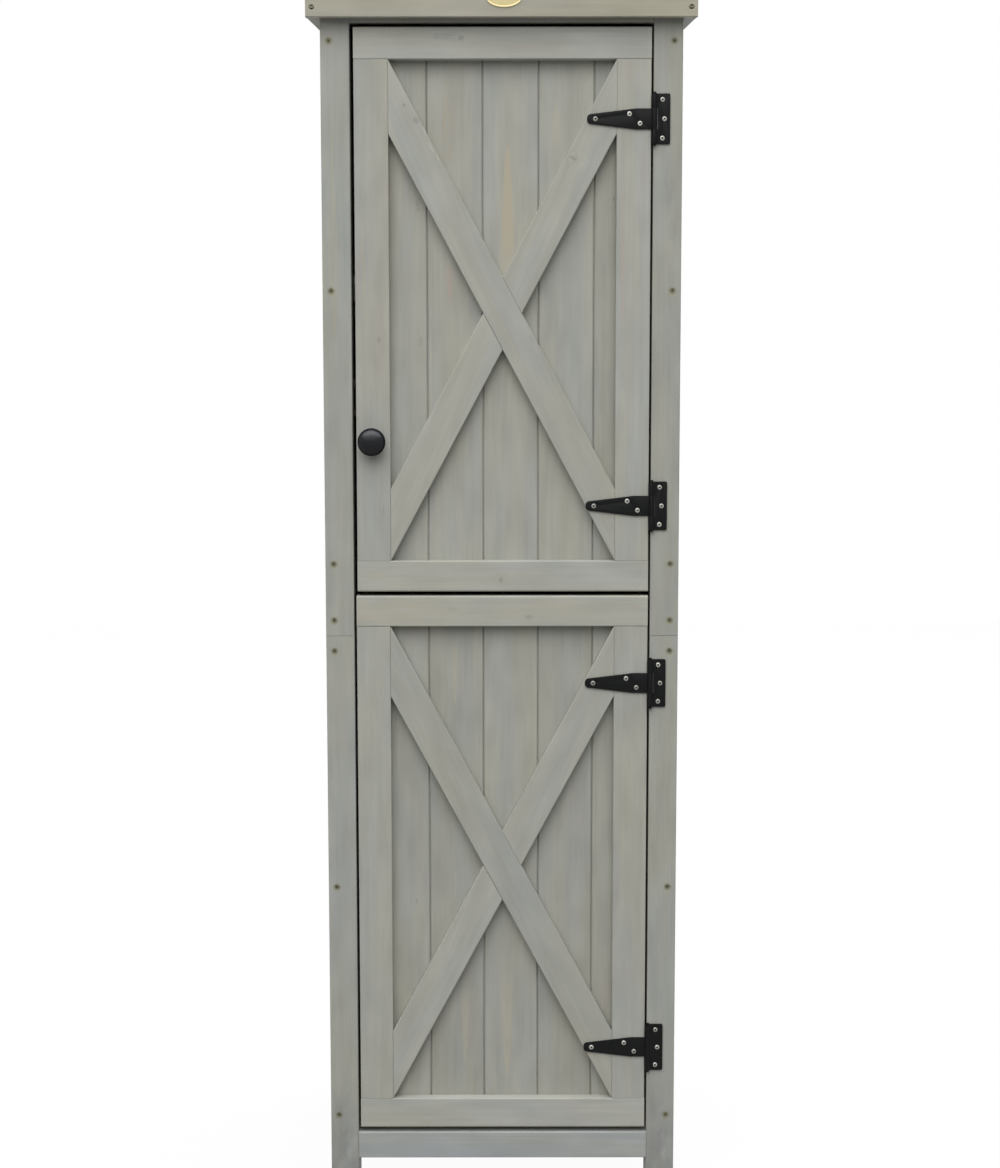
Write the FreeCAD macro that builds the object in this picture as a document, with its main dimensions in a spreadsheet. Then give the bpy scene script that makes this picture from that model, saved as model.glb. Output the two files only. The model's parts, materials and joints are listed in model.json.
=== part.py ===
import FreeCAD, Part
import os
import re
import Sketcher

# Garden storage cabinet: a tall narrow wooden cabinet on four legs, with a pent roof
# and two side-hung doors. Millimetres, +Z up, the front faces -Y, the right side is +X.
# The origin is the bottom centre of the whole cabinet's box.

document = FreeCAD.newDocument("garden_cabinet")

# Driving dimensions

DIMENSIONS = [
    ("body_width", 460, "outer width over the posts"),
    ("body_depth", 380, "outer depth over the posts"),
    ("leg_height", 47, "floor to the underside of the plinth rail"),
    ("plinth_height", 36, "height of the plinth rail"),
    ("plinth_gap", 6.4, "plinth rail to the lower door"),
    ("door_height", 719.2, "height of each door"),
    ("door_gap", 5.4, "between the two doors"),
    ("top_gap", 5, "upper door to the top rail"),
    ("roof_gap", 8.3, "upper door to the underside of the fascia"),
    ("post_width", 37, "post, across the front"),
    ("post_depth", 45, "post, front to back"),
    ("joint_drop", 52.6, "top of the lower door to the joint between the lower and upper posts"),
    ("joint_gap", 0.4, "open joint between the lower and upper posts"),
    ("face_rail_thickness", 15, "top rail and plinth rail"),
    ("edge_round", 1.5, "eased edges of the timber"),
    ("door_round", 2.6, "outer front edge of the door rails"),
    ("side_rail_thickness", 22, "side and back rails"),
    ("side_rail_height", 40, "side and back rails"),
    ("bottom_rail_rise", 24, "top of the plinth rail to the bottom side rail's centre line"),
    ("lower_shelf_rise", 313, "bottom side rail to the side rail at the lower shelf"),
    ("stiffener_rise", 94, "post joint to the side rail behind the upper door's bottom rail"),
    ("upper_shelf_rise", 446, "post joint to the side rail at the upper shelf"),
    ("top_rail_drop", 26, "underside of the fascia to the top side rail's centre line"),
    ("board_thickness", 10, "tongue and groove boards"),
    ("board_cover", 71.6, "width that one board covers"),
    ("board_joint", 0.6, "open line between two board faces"),
    ("board_bevel", 1.6, "bevel beside the open line"),
    ("narrowest_strip", 3, "a strip narrower than this is left out of a panel"),
    ("tongue_length", 4, "tongue of a board"),
    ("tongue_thickness", 3.4, "tongue of a board"),
    ("tongue_clearance", 0.2, "tongue to groove, each side"),
    ("shelf_clearance", 1, "shelf to posts and back boards"),
    ("batten_thickness", 15, "shelf batten, across"),
    ("batten_height", 20, "shelf batten"),
    ("front_batten_height", 45, "batten under the front edge of the bottom floor"),
    ("trim_thickness", 15, "door rails, stiles and braces"),
    ("door_rail_height", 40.4, "door rails"),
    ("stile_width", 44, "door stiles"),
    ("brace_width", 44, "door braces"),
    ("upper_latch_gap", 4.8, "upper door to the left post"),
    ("lower_latch_gap", 3.2, "lower door to the left post"),
    ("hinge_gap", 2.7, "both doors to the right post"),
    ("first_joint", 25.8, "left post to the first board joint of a door"),
    ("shelf_door_gap", 5, "back of the doors to the shelves"),
    ("overhang", 18, "front posts to the face of the fascia"),
    ("roof_slope", 5, "rise of the roof to the back, degrees"),
    ("roof_board_thickness", 16, "fascia, bargeboards and roof back board"),
    ("fascia_height", 48, "fascia, bargeboards and roof back board"),
    ("roof_clearance", 0.5, "bargeboards and roof back board to the body"),
    ("felt_thickness", 2, "roof felt"),
    ("felt_drop", 22, "felt turned down over the roof's edges, from its top"),
    ("plate_width", 45, "blank oval plate"),
    ("plate_height", 24, "blank oval plate"),
    ("plate_thickness", 1.2, "blank oval plate"),
    ("plate_shift", 3, "blank oval plate, right of the middle"),
    ("roof_screw_rise", 12, "underside of the fascia to its screws"),
    ("top_hinge_drop", 115, "door's top to its upper hinge's centre"),
    ("bottom_hinge_rise", 112, "door's bottom to its lower hinge's centre"),
    ("hinge_setback", 0.8, "right post's inner face to the hinge axis"),
    ("leaf_thickness", 2, "hinge leaves"),
    ("pin_radius", 1.4, "hinge pin"),
    ("pin_clearance", 0.05, "hinge pin to knuckle, radial"),
    ("pin_head_radius", 2.1, "head of the hinge pin"),
    ("pin_head_height", 2, "head of the hinge pin, beyond the plate at each end"),
    ("knuckle_clearance", 0.2, "between knuckles, and strap knuckle to plate"),
    ("hinge_plate_height", 63, "hinge plate on the post"),
    ("hinge_plate_reach", 20.2, "hinge axis to the plate's far edge"),
    ("plate_corner", 2, "rounded far corners of the hinge plate"),
    ("end_screw_reach", 10.3, "hinge axis to the plate's end screws"),
    ("end_screw_rise", 24.1, "hinge's middle to the plate's end screws"),
    ("mid_screw_reach", 12.9, "hinge axis to the plate's middle screw"),
    ("strap_height", 26, "hinge strap at the knuckle"),
    ("strap_shoulder", 22.8, "hinge axis to where the strap starts to taper"),
    ("strap_reach", 85.3, "hinge axis to the strap's tip"),
    ("strap_tip_height", 11, "hinge strap at its tip"),
    ("strap_tip_round", 4.7, "rounded corners of the strap's tip"),
    ("tip_screw_reach", 74.8, "hinge axis to the strap's outer screw"),
    ("high_screw_reach", 31.5, "hinge axis to the strap's upper screw"),
    ("high_screw_rise", 6.2, "hinge's middle to the strap's upper screw"),
    ("low_screw_reach", 18, "hinge axis to the strap's lower screw"),
    ("low_screw_drop", 5.7, "hinge's middle to the strap's lower screw"),
    ("pan_head_radius", 3.4, "pan head screws"),
    ("pan_head_height", 1.6, "pan head screws"),
    ("pan_shank_radius", 1.5, "pan head screws"),
    ("pan_length", 14, "pan head screws, under the head"),
    ("recess_width", 0.9, "cross recess"),
    ("recess_length", 4, "cross recess"),
    ("recess_depth", 1, "cross recess"),
    ("frame_screw_length", 75, "frame screws"),
    ("frame_screw_radius", 2, "shank of the frame screws"),
    ("frame_head_radius", 3.6, "head of the frame screws"),
    ("frame_head_height", 2.2, "head of the frame screws"),
    ("frame_screw_sink", 0.8, "frame screw heads below the surface"),
    ("knob_radius", 18, "knob"),
    ("knob_inset", 20.5, "left edge of the upper door to the knob's centre"),
    ("knob_height", 195.2, "bottom of the upper door to the knob's centre"),
    ("knob_foot_radius", 9, "knob foot on the stile"),
    ("knob_foot_height", 3, "knob foot on the stile"),
    ("knob_neck_radius", 6.5, "knob neck"),
    ("knob_neck_height", 8, "foot and neck together"),
    ("knob_flare_height", 6, "flare between neck and rim"),
    ("knob_rim_height", 2, "rim of the knob"),
    ("knob_dome_height", 8, "dome of the knob"),
    ("knob_bead_radius", 1.1, "bead round the dome"),
    ("knob_screw_radius", 2, "knob screw"),
    ("knob_screw_bite", 9, "knob screw inside the knob"),
    ("catch_width", 15, "magnetic catch, across"),
    ("catch_height", 46, "magnetic catch"),
    ("catch_depth", 16, "magnetic catch, front to back"),
    ("catch_air", 0.4, "magnetic catch to its strike plate"),
    ("strike_width", 12, "strike plate"),
    ("strike_height", 38, "strike plate"),
    ("strike_thickness", 1, "strike plate"),
    ("strike_inset", 1.5, "door edge to the strike plate"),
    ("upper_catch_height", 251, "bottom of the upper door to its catch's centre"),
    ("lower_catch_drop", 71.6, "top of the lower door to its catch's centre"),
]

# Places worked out from the driving dimensions

PLACES = {
    "slope": "roof_slope * 1 deg",
    "roof_build": "fascia_height + board_thickness + felt_thickness",
    "roof_inner_length": "(overhang + body_depth + roof_clearance + fascia_height * sin(slope))"
                         " / cos(slope)",
    "roof_length": "roof_inner_length + roof_board_thickness",
    "front_reach": "overhang + felt_thickness * cos(slope) + roof_build * sin(slope)",
    "rear_reach": "max(roof_length * cos(slope) - edge_round * (cos(slope) + sin(slope) - 1);"
                  " (roof_length + felt_thickness) * cos(slope)"
                  " - (roof_build - felt_drop) * sin(slope)) - overhang",
    "front": "(front_reach - rear_reach) / 2",
    "back": "front + body_depth",
    "side": "body_width / 2",
    "opening": "side - post_width",
    "roof_side": "side + roof_clearance + roof_board_thickness",
    "plinth_top": "leg_height + plinth_height",
    "lower_door_bottom": "plinth_top + plinth_gap",
    "lower_door_top": "lower_door_bottom + door_height",
    "upper_door_bottom": "lower_door_top + door_gap",
    "upper_door_top": "upper_door_bottom + door_height",
    "top_rail_bottom": "upper_door_top + top_gap",
    "roof_bottom": "upper_door_top + roof_gap",
    "roof_top": "roof_bottom + roof_build + (body_depth + overhang) * tan(slope)",
    "door_thickness": "trim_thickness + board_thickness",
    "side_face": "side - side_rail_thickness",
    "side_lining": "side_face - board_thickness",
    "back_face": "back - side_rail_thickness",
    "back_lining": "back_face - board_thickness",
    "rail_run": "body_depth - 2 * post_depth",
    "joint_height": "lower_door_top - joint_drop",
    "bottom_level": "plinth_top + bottom_rail_rise",
    "lower_shelf_level": "bottom_level + lower_shelf_rise",
    "stiffener_level": "joint_height + stiffener_rise",
    "upper_shelf_level": "joint_height + upper_shelf_rise",
    "top_level": "roof_bottom - top_rail_drop",
    "below_joint_level": "joint_height - joint_gap / 2 - side_rail_height / 2",
    "above_joint_level": "joint_height + joint_gap / 2 + side_rail_height / 2",
    "hinge_x": "opening + hinge_setback",
    "knuckle_radius": "pin_radius + pin_clearance + leaf_thickness",
    "hinge_y": "front - knuckle_radius",
    "bore_radius": "pin_radius + pin_clearance",
    "screw_line": "side - side_rail_thickness / 2",
    "shelf_front": "front + door_thickness + shelf_door_gap",
    "shelf_depth": "back_lining - shelf_clearance - shelf_front",
    "shelf_half": "opening - shelf_clearance",
    "panel_height": "door_height - 2 * door_rail_height",
    "knob_reach": "knob_neck_height + knob_flare_height + knob_rim_height",
}

sheet = document.addObject("Spreadsheet::Sheet", "dims")
for row, (alias, size, note) in enumerate(DIMENSIONS, start=1):
    sheet.set(f"A{row}", alias)
    sheet.set(f"B{row}", str(size))
    sheet.set(f"C{row}", note)
    sheet.setAlias(f"B{row}", alias)
document.recompute()

ALIASES = {alias for alias, size, note in DIMENSIONS}


def formula(text):
    """The expression for a formula that names dimensions and places."""
    def spell(match):
        word = match.group()
        if word in PLACES:
            return "(" + formula(PLACES[word]) + ")"
        return "dims." + word if word in ALIASES else word
    return re.sub(r"[a-z][a-z_]+", spell, str(text))


def number(text):
    """The present value of a formula."""
    found = sheet.evalExpression(formula(text))
    return float(getattr(found, "Value", found))


def bind(item, prop, text):
    item.setExpression(prop, formula(text))


# Placing

def place(item, x, y, z):
    """Put an object's own origin at a point."""
    for axis, text in zip("xyz", (x, y, z)):
        bind(item, f"Placement.Base.{axis}", text)
    return item


def turn(item, axis, angle):
    """Turn an object about its own origin, by degrees or by a formula."""
    item.Placement = FreeCAD.Placement(item.Placement.Base, FreeCAD.Rotation(axis, number(angle)))
    bind(item, "Placement.Rotation.Angle", f"({angle}) * 1 deg")
    return item


def on_roof(item, x, y, z):
    """Put an object on the sloping roof tray: x across, y up the slope, z square to it."""
    turn(item, X_AXIS, "roof_slope")
    rise = f"({y}) * sin(slope) + ({z}) * cos(slope)"
    run = f"({y}) * cos(slope) - ({z}) * sin(slope)"
    return place(item, x, f"front - overhang + {run}", f"roof_bottom + {rise}")


X_AXIS = FreeCAD.Vector(1, 0, 0)
Y_AXIS = FreeCAD.Vector(0, 1, 0)
Z_AXIS = FreeCAD.Vector(0, 0, 1)
AXES = {"X": X_AXIS, "Y": Y_AXIS, "Z": Z_AXIS}

# The plane that a piece's section is drawn on, for each direction that it runs in
PLANES = {"X": "YZ_Plane", "Y": "XZ_Plane", "Z": "XY_Plane"}

# How close an edge lies to the place where it is looked for
NEAR = 0.01


# Building blocks

def new_body(name):
    return document.addObject("PartDesign::Body", name)


def sketch_on(body, plane):
    sketch = body.newObject("Sketcher::SketchObject", body.Name + "_outline")
    base = [item for item in body.Origin.OriginFeatures if item.Role == plane][0]
    sketch.AttachmentSupport = (base, [""])
    sketch.MapMode = "FlatFace"
    return sketch


def pin_corner(sketch, corner, kind, axis, text):
    """Tie one coordinate of a corner to a formula, or to the sketch's axis where it is 0."""
    if str(text) == "0":
        sketch.addConstraint(Sketcher.Constraint("PointOnObject", corner, 1, axis))
        return
    index = sketch.addConstraint(Sketcher.Constraint(kind, -1, 1, corner, 1, number(text)))
    bind(sketch, f"Constraints[{index}]", text)


def outline(body, plane, points):
    """A closed outline of straight lines, each corner given by two formulas from 0 up."""
    sketch = sketch_on(body, plane)
    corners = [FreeCAD.Vector(number(x), number(y), 0) for x, y in points]
    for start, end in zip(corners, corners[1:] + corners[:1]):
        sketch.addGeometry(Part.LineSegment(start, end), False)
    for index in range(len(points)):
        follower = (index + 1) % len(points)
        sketch.addConstraint(Sketcher.Constraint("Coincident", index, 2, follower, 1))
    for index, (x, y) in enumerate(points):
        pin_corner(sketch, index, "DistanceX", -2, x)
        pin_corner(sketch, index, "DistanceY", -1, y)
    return sketch


def pad(body, sketch, run, length):
    """Pad an outline towards +X, +Y or +Z."""
    feature = body.newObject("PartDesign::Pad", body.Name + "_pad")
    feature.Profile = sketch
    feature.Reversed = run == "Y"
    bind(feature, "Length", length)
    document.recompute()
    return feature


def ease(body, feature, wanted, radius="edge_round"):
    """Round the edges of a feature that the wanted test picks."""
    names = [f"Edge{index}" for index, edge in enumerate(feature.Shape.Edges, start=1) if wanted(edge)]
    fillet = body.newObject("PartDesign::Fillet", body.Name + "_eased")
    fillet.Base = (feature, names)
    bind(fillet, "Radius", radius)
    return fillet


def along(direction):
    """A test for straight edges along a direction."""
    def wanted(edge):
        step = edge.Vertexes[-1].Point - edge.Vertexes[0].Point
        return step.cross(direction).Length < 1e-6 * step.Length
    return wanted


def timber(name, run, size, at):
    """A straight piece of timber with eased long edges, from its lowest corner."""
    body = new_body(name)
    spans = dict(zip("XYZ", size))
    across = [spans[axis] for axis in "XYZ" if axis != run]
    corners = [("0", "0"), (across[0], "0"), (across[0], across[1]), ("0", across[1])]
    stick = pad(body, outline(body, PLANES[run], corners), run, spans[run])
    ease(body, stick, along(AXES[run]))
    return place(body, *at)


def door_rail(name, end, width, at):
    """A door rail whose outer front edge is rounder than its other long edges."""
    body = new_body(name)
    corners = [("0", "0"), ("trim_thickness", "0"), ("trim_thickness", "door_rail_height"),
               ("0", "door_rail_height")]
    stick = pad(body, outline(body, PLANES["X"], corners), "X", width)
    box = stick.Shape.BoundBox
    outer_level = box.ZMax if end == "top" else box.ZMin
    inner_level = box.ZMin if end == "top" else box.ZMax

    def outer(edge):
        point = edge.Vertexes[0].Point
        return along(X_AXIS)(edge) and abs(point.y) < NEAR and abs(point.z - outer_level) < NEAR

    def other(edge):
        point = edge.Vertexes[0].Point
        at_back = abs(point.y - box.YMax) < NEAR and abs(point.z - outer_level) < NEAR
        return along(X_AXIS)(edge) and (at_back or abs(point.z - inner_level) < NEAR)

    rounder = ease(body, stick, outer, "door_round")
    document.recompute()
    ease(body, rounder, other)
    return place(body, *at)


def block(name, size, at):
    """A plain box from its lowest corner."""
    box = document.addObject("Part::Box", name)
    for prop, text in zip(("Length", "Width", "Height"), size):
        bind(box, prop, text)
    return place(box, *at)


def cylinder(name, radius, height):
    """A cylinder from its own origin up its own Z."""
    item = document.addObject("Part::Cylinder", name)
    bind(item, "Radius", radius)
    bind(item, "Height", height)
    return item


def cone(name, low_radius, high_radius, height):
    item = document.addObject("Part::Cone", name)
    bind(item, "Radius1", low_radius)
    bind(item, "Radius2", high_radius)
    bind(item, "Height", height)
    return item


def fuse(name, pieces):
    item = document.addObject("Part::MultiFuse", name)
    item.Shapes = pieces
    return item


def cut(name, base, tool):
    item = document.addObject("Part::Cut", name)
    item.Base = base
    item.Tool = tool
    return item


def common(name, base, tool):
    item = document.addObject("Part::Common", name)
    item.Base = base
    item.Tool = tool
    return item


def copy(name, master):
    """A placed copy of another object's shape."""
    link = document.addObject("App::Link", name)
    link.LinkedObject = master
    return link


def group(name, pieces):
    """Separate solids under one name."""
    item = document.addObject("Part::Compound", name)
    item.Links = pieces
    return item


nodes = []


def node(name, item):
    """Keep an object as one of the cabinet's sub-parts."""
    item.Label = name
    nodes.append(item)
    return item


def board_profile():
    """The section of a tongue and groove board: its face at 0, its groove at the left."""
    face = "board_cover - board_joint"
    low = "(board_thickness - tongue_thickness) / 2"
    high = "(board_thickness + tongue_thickness) / 2"
    slot_low = f"{low} - tongue_clearance"
    slot_high = f"{high} + tongue_clearance"
    slot_depth = "tongue_length + tongue_clearance"
    return [
        ("board_bevel", "0"), (f"{face} - board_bevel", "0"), (face, "board_bevel"),
        (face, low), (f"{face} + tongue_length", low),
        (f"{face} + tongue_length", high), (face, high), (face, "board_thickness"),
        ("0", "board_thickness"), ("0", slot_high), (slot_depth, slot_high),
        (slot_depth, slot_low), ("0", slot_low), ("0", "board_bevel"),
    ]


def even_first(width):
    """The first board's width where both outer boards are alike."""
    return f"(({width}) - (ceil(({width}) / board_cover) - 2) * board_cover) / 2"


def boards(name, run, length, width, first):
    """Tongue and groove boards, side by side, wider than the panel that they are cut to."""
    body = new_body(name)
    stick = pad(body, outline(body, PLANES[run], board_profile()), run, length)
    row = body.newObject("PartDesign::LinearPattern", name + "_row")
    row.Originals = [stick]
    row.Direction = (stick.Profile[0], ["H_Axis"])
    count = f"ceil((({width}) - ({first}) - narrowest_strip) / board_cover) + 1"
    bind(row, "Length", f"({count} - 1) * board_cover")
    bind(row, "Occurrences", count)
    body.Tip = row
    return body


def upright_panel(name, corner, angle, width, height, first):
    """Upright boards cut to a panel: from a corner, along a compass direction, face outside."""
    x, y, z = corner
    shift = f"(({first}) - board_cover)"
    steps = {0: (shift, "0"), 90: ("0", shift), 180: (f"-{shift}", "0"), 270: ("0", f"-{shift}")}
    step_x, step_y = steps[angle]
    row = turn(boards(name + "_row", "Z", height, width, first), Z_AXIS, angle)
    place(row, f"{x} + {step_x}", f"{y} + {step_y}", z)
    panel = turn(block(name + "_panel", (width, "board_thickness", height), corner), Z_AXIS, angle)
    return common(name, row, panel)


def flat_panel(name, x, y, z, length, width):
    """Flat boards that run across, cut to a panel, with their faces down."""
    first = even_first(width)
    row = boards(name + "_row", "X", length, width, first)
    place(row, x, f"{y} + ({first}) - board_cover", z)
    panel = block(name + "_panel", (length, width, "board_thickness"), (x, y, z))
    return common(name, row, panel)


# Screws

def make_pan_screw():
    """A pan head screw: its head towards -Y, the head's underside at its own origin."""
    shank = turn(cylinder("pan_shank", "pan_shank_radius", "pan_length"), X_AXIS, "-90")
    head = document.addObject("Part::Ellipsoid", "pan_head")
    bind(head, "Radius1", "pan_head_height")
    bind(head, "Radius2", "pan_head_radius")
    head.Angle1 = 0
    turn(head, X_AXIS, "90")
    arms = []
    for index, (wide, tall) in enumerate((("recess_length", "recess_width"),
                                          ("recess_width", "recess_length"))):
        corner = (f"-({wide}) / 2", "-pan_head_height - recess_depth", f"-({tall}) / 2")
        arms.append(block(f"pan_recess_{index}", (wide, "2 * recess_depth", tall), corner))
    solid = fuse("pan_solid", [shank, head])
    return cut("pan_screw", solid, fuse("pan_recess", arms))


def make_pan_bore():
    """What a pan head screw takes out of the leaf and the wood."""
    return group("pan_bore", [turn(cylinder("pan_bore_shank", "pan_shank_radius", "pan_length"),
                                   X_AXIS, "-90")])


def make_frame_screw():
    """A countersunk screw along +Y, the top of its head at its own origin."""
    head = turn(cone("frame_head", "frame_head_radius", "frame_screw_radius",
                     "frame_head_height"), X_AXIS, "-90")
    shank = turn(cylinder("frame_shank", "frame_screw_radius", "frame_screw_length"), X_AXIS, "-90")
    arms = []
    for index, (wide, tall) in enumerate((("recess_length", "recess_width"),
                                          ("recess_width", "recess_length"))):
        corner = (f"-({wide}) / 2", "-recess_depth", f"-({tall}) / 2")
        arms.append(block(f"frame_recess_{index}", (wide, "2 * recess_depth", tall), corner))
    solid = fuse("frame_solid", [head, shank])
    return cut("frame_screw", solid, fuse("frame_recess", arms))


def make_frame_bore():
    """What a frame screw takes out of the wood, with the sink above its head."""
    head = turn(cone("bore_head", "frame_head_radius", "frame_screw_radius",
                     "frame_head_height"), X_AXIS, "-90")
    shank = turn(cylinder("bore_shank", "frame_screw_radius", "frame_screw_length"), X_AXIS, "-90")
    sink = turn(cylinder("bore_sink", "frame_head_radius", "2 * frame_screw_sink"), X_AXIS, "-90")
    place(sink, "0", "-2 * frame_screw_sink", "0")
    return fuse("frame_bore", [head, shank, sink])


pan_screw = make_pan_screw()
pan_bore = make_pan_bore()
frame_screw = make_frame_screw()
frame_bore = make_frame_bore()

LOWER_LEVELS = ["bottom_level", "lower_shelf_level", "below_joint_level"]
UPPER_LEVELS = ["above_joint_level", "stiffener_level", "upper_shelf_level", "top_level"]


def frame_fasteners(name, master):
    """Copies of a screw or its bore in the posts, front and back, and in the fascia."""
    items = []
    for hand, sign in (("left", "-"), ("right", "")):
        for index, level in enumerate(LOWER_LEVELS + UPPER_LEVELS):
            front_item = copy(f"{name}_front_{hand}_{index}", master)
            place(front_item, f"{sign}screw_line", "front + frame_screw_sink", level)
            back_item = turn(copy(f"{name}_back_{hand}_{index}", master), Z_AXIS, "180")
            place(back_item, f"{sign}screw_line", "back - frame_screw_sink", level)
            items += [front_item, back_item]
        roof_item = copy(f"{name}_roof_{hand}", master)
        across = f"{sign}(roof_side - roof_board_thickness / 2)"
        items.append(on_roof(roof_item, across, "frame_screw_sink", "roof_screw_rise"))
    return group(name, items)


frame_screws = node("frame_screws", frame_fasteners("frame_screws", frame_screw))
frame_bores = frame_fasteners("frame_bores", frame_bore)


# Roof: a tray of four boards, a deck and felt, tilted as one

def under_roof():
    """The space under the roof deck, which the body's tall pieces are cut to."""
    space = block("under_roof", ("2 * body_width", "2 * body_depth + 2 * overhang", "roof_top"),
                  ("0", "0", "0"))
    return on_roof(space, "-body_width", "-body_depth / 2", "fascia_height - roof_top")


roof_space = under_roof()


def roof_board(name, run, size, at):
    board = timber(name + "_board", run, size, ("0", "0", "0"))
    return on_roof(board, *at)


def build_roof():
    width = "2 * roof_side"
    fascia = roof_board("roof_fascia", "X", (width, "roof_board_thickness", "fascia_height"),
                        ("-roof_side", "0", "0"))
    node("roof_fascia", cut("roof_fascia", fascia, frame_bores))
    run = "roof_inner_length - roof_board_thickness"
    for hand, corner in (("left", "-roof_side"), ("right", "roof_side - roof_board_thickness")):
        name = f"roof_bargeboard_{hand}"
        board = roof_board(name, "Y", ("roof_board_thickness", run, "fascia_height"),
                           (corner, "roof_board_thickness", "0"))
        node(name, cut(name, board, frame_bores))
    back = roof_board("roof_back_board", "X", (width, "roof_board_thickness", "fascia_height"),
                      ("-roof_side", "roof_inner_length", "0"))
    node("roof_back_board", back)
    build_deck(width)
    build_felt(width)
    build_plate()


def build_deck(width):
    first = even_first("roof_length")
    row = boards("roof_deck_row", "X", width, "roof_length", first)
    on_roof(row, "-roof_side", f"({first}) - board_cover", "fascia_height")
    panel = block("roof_deck_panel", (width, "roof_length", "board_thickness"), ("0", "0", "0"))
    on_roof(panel, "-roof_side", "0", "fascia_height")
    node("roof_deck_boards", common("roof_deck_boards", row, panel))


def build_felt(width):
    cover = block("felt_cover", (f"{width} + 2 * felt_thickness",
                                 "roof_length + 2 * felt_thickness", "felt_drop"), ("0", "0", "0"))
    on_roof(cover, "-roof_side - felt_thickness", "-felt_thickness", "roof_build - felt_drop")
    inside = block("felt_inside", (width, "roof_length", "2 * felt_drop"), ("0", "0", "0"))
    on_roof(inside, "-roof_side", "0", "roof_build - felt_thickness - 2 * felt_drop")
    node("roof_felt", cut("roof_felt", cover, inside))


def build_plate():
    """The blank oval plate on the fascia."""
    ring = document.addObject("Part::Ellipse", "plate_outline")
    bind(ring, "MajorRadius", "plate_width / 2")
    bind(ring, "MinorRadius", "plate_height / 2")
    turn(ring, X_AXIS, "90 + roof_slope")
    oval = document.addObject("Part::Extrusion", "roof_plate")
    oval.Base = ring
    oval.DirMode = "Normal"
    oval.Reversed = True
    oval.Solid = True
    bind(oval, "LengthFwd", "plate_thickness")
    middle = "fascia_height / 2"
    place(ring, "plate_shift", f"front - overhang - {middle} * sin(slope)",
          f"roof_bottom + {middle} * cos(slope)")
    node("roof_plate", oval)


# Body

def build_post(face, hand, storey):
    """One length of a corner post."""
    name = f"{face}_post_{hand}_{storey}"
    x = "-side" if hand == "left" else "opening"
    y = "front" if face == "front" else "back - post_depth"
    if storey == "lower":
        low, height = "0", "joint_height - joint_gap / 2"
    else:
        low, height = "joint_height + joint_gap / 2", "roof_top - joint_height"
    stick = timber(name + "_stick", "Z", ("post_width", "post_depth", height), (x, y, low))
    if storey == "upper":
        stick = common(name + "_topped", stick, roof_space)
    return cut(name + "_bored", stick, frame_bores)


def build_posts(plate_bores):
    for face in ("front", "rear"):
        for hand in ("left", "right"):
            for storey in ("lower", "upper"):
                name = f"{face}_post_{hand}_{storey}"
                post = build_post(face, hand, storey)
                if (face, hand) == ("front", "right"):
                    post = cut(name, post, plate_bores)
                node(name, post)


def build_face_rails():
    span = "2 * opening"
    rail = timber("front_top_stick", "X", (span, "face_rail_thickness", "roof_top - top_rail_bottom"),
                  ("-opening", "front", "top_rail_bottom"))
    node("front_top_rail", common("front_top_rail", rail, roof_space))
    plinth = timber("front_plinth_rail", "X", (span, "face_rail_thickness", "plinth_height"),
                    ("-opening", "front", "leg_height"))
    node("front_plinth_rail", plinth)


def build_sides():
    for hand in ("left", "right"):
        x = "-side" if hand == "left" else "side_face"
        for storey, levels in (("lower", LOWER_LEVELS), ("upper", UPPER_LEVELS)):
            name = f"side_rails_{hand}_{storey}"
            rails = []
            for index, level in enumerate(levels):
                rails.append(timber(f"{name}_{index}", "Y",
                                    ("side_rail_thickness", "rail_run", "side_rail_height"),
                                    (x, "front + post_depth", f"{level} - side_rail_height / 2")))
            node(name, cut(name, group(name + "_set", rails), frame_bores))
            build_side_boards(hand, storey)


def build_side_boards(hand, storey):
    name = f"side_boards_{hand}_{storey}"
    if storey == "lower":
        low = "bottom_level - side_rail_height / 2"
        height = f"joint_height - joint_gap / 2 - ({low})"
    else:
        low = "joint_height + joint_gap / 2"
        height = "roof_top - joint_height"
    if hand == "left":
        corner, angle = ("-side_face", "back - post_depth", low), 270
    else:
        corner, angle = ("side_face", "front + post_depth", low), 90
    panel = upright_panel(name + "_flat", corner, angle, "rail_run", height, even_first("rail_run"))
    node(name, common(name, panel, roof_space))


def build_back():
    rails = []
    for index, level in enumerate(("bottom_level", "below_joint_level", "above_joint_level",
                                   "top_level")):
        rails.append(timber(f"back_rail_{index}", "X",
                            ("2 * opening", "side_rail_thickness", "side_rail_height"),
                            ("-opening", "back_face", f"{level} - side_rail_height / 2")))
    node("back_rails", group("back_rails", rails))
    low = "bottom_level - side_rail_height / 2"
    panel = upright_panel("back_boards_flat", ("opening", "back_face", low), 180, "2 * opening",
                          f"roof_top - ({low})", even_first("2 * opening"))
    node("back_boards", common("back_boards", panel, roof_space))


def build_shelves():
    battens = []
    for name, level in (("floor_bottom", "bottom_level"), ("shelf_lower", "lower_shelf_level"),
                        ("floor_middle", "above_joint_level"), ("shelf_upper", "upper_shelf_level")):
        for hand, x in (("left", "-side_lining"), ("right", "side_lining - batten_thickness")):
            battens.append(timber(f"batten_{name}_{hand}", "Y",
                                  ("batten_thickness", "rail_run", "batten_height"),
                                  (x, "front + post_depth", f"{level} - batten_height / 2")))
        node(name, flat_panel(name, "-shelf_half", "shelf_front", f"{level} + batten_height / 2",
                              "2 * shelf_half", "shelf_depth"))
    battens.append(timber("batten_floor_front", "X",
                          ("2 * opening", "batten_thickness", "front_batten_height"),
                          ("-opening", "shelf_front",
                           "bottom_level + batten_height / 2 - front_batten_height")))
    node("shelf_battens", group("shelf_battens", battens))


# Hinges: a plate on the post, a strap on the door and a pin

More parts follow.
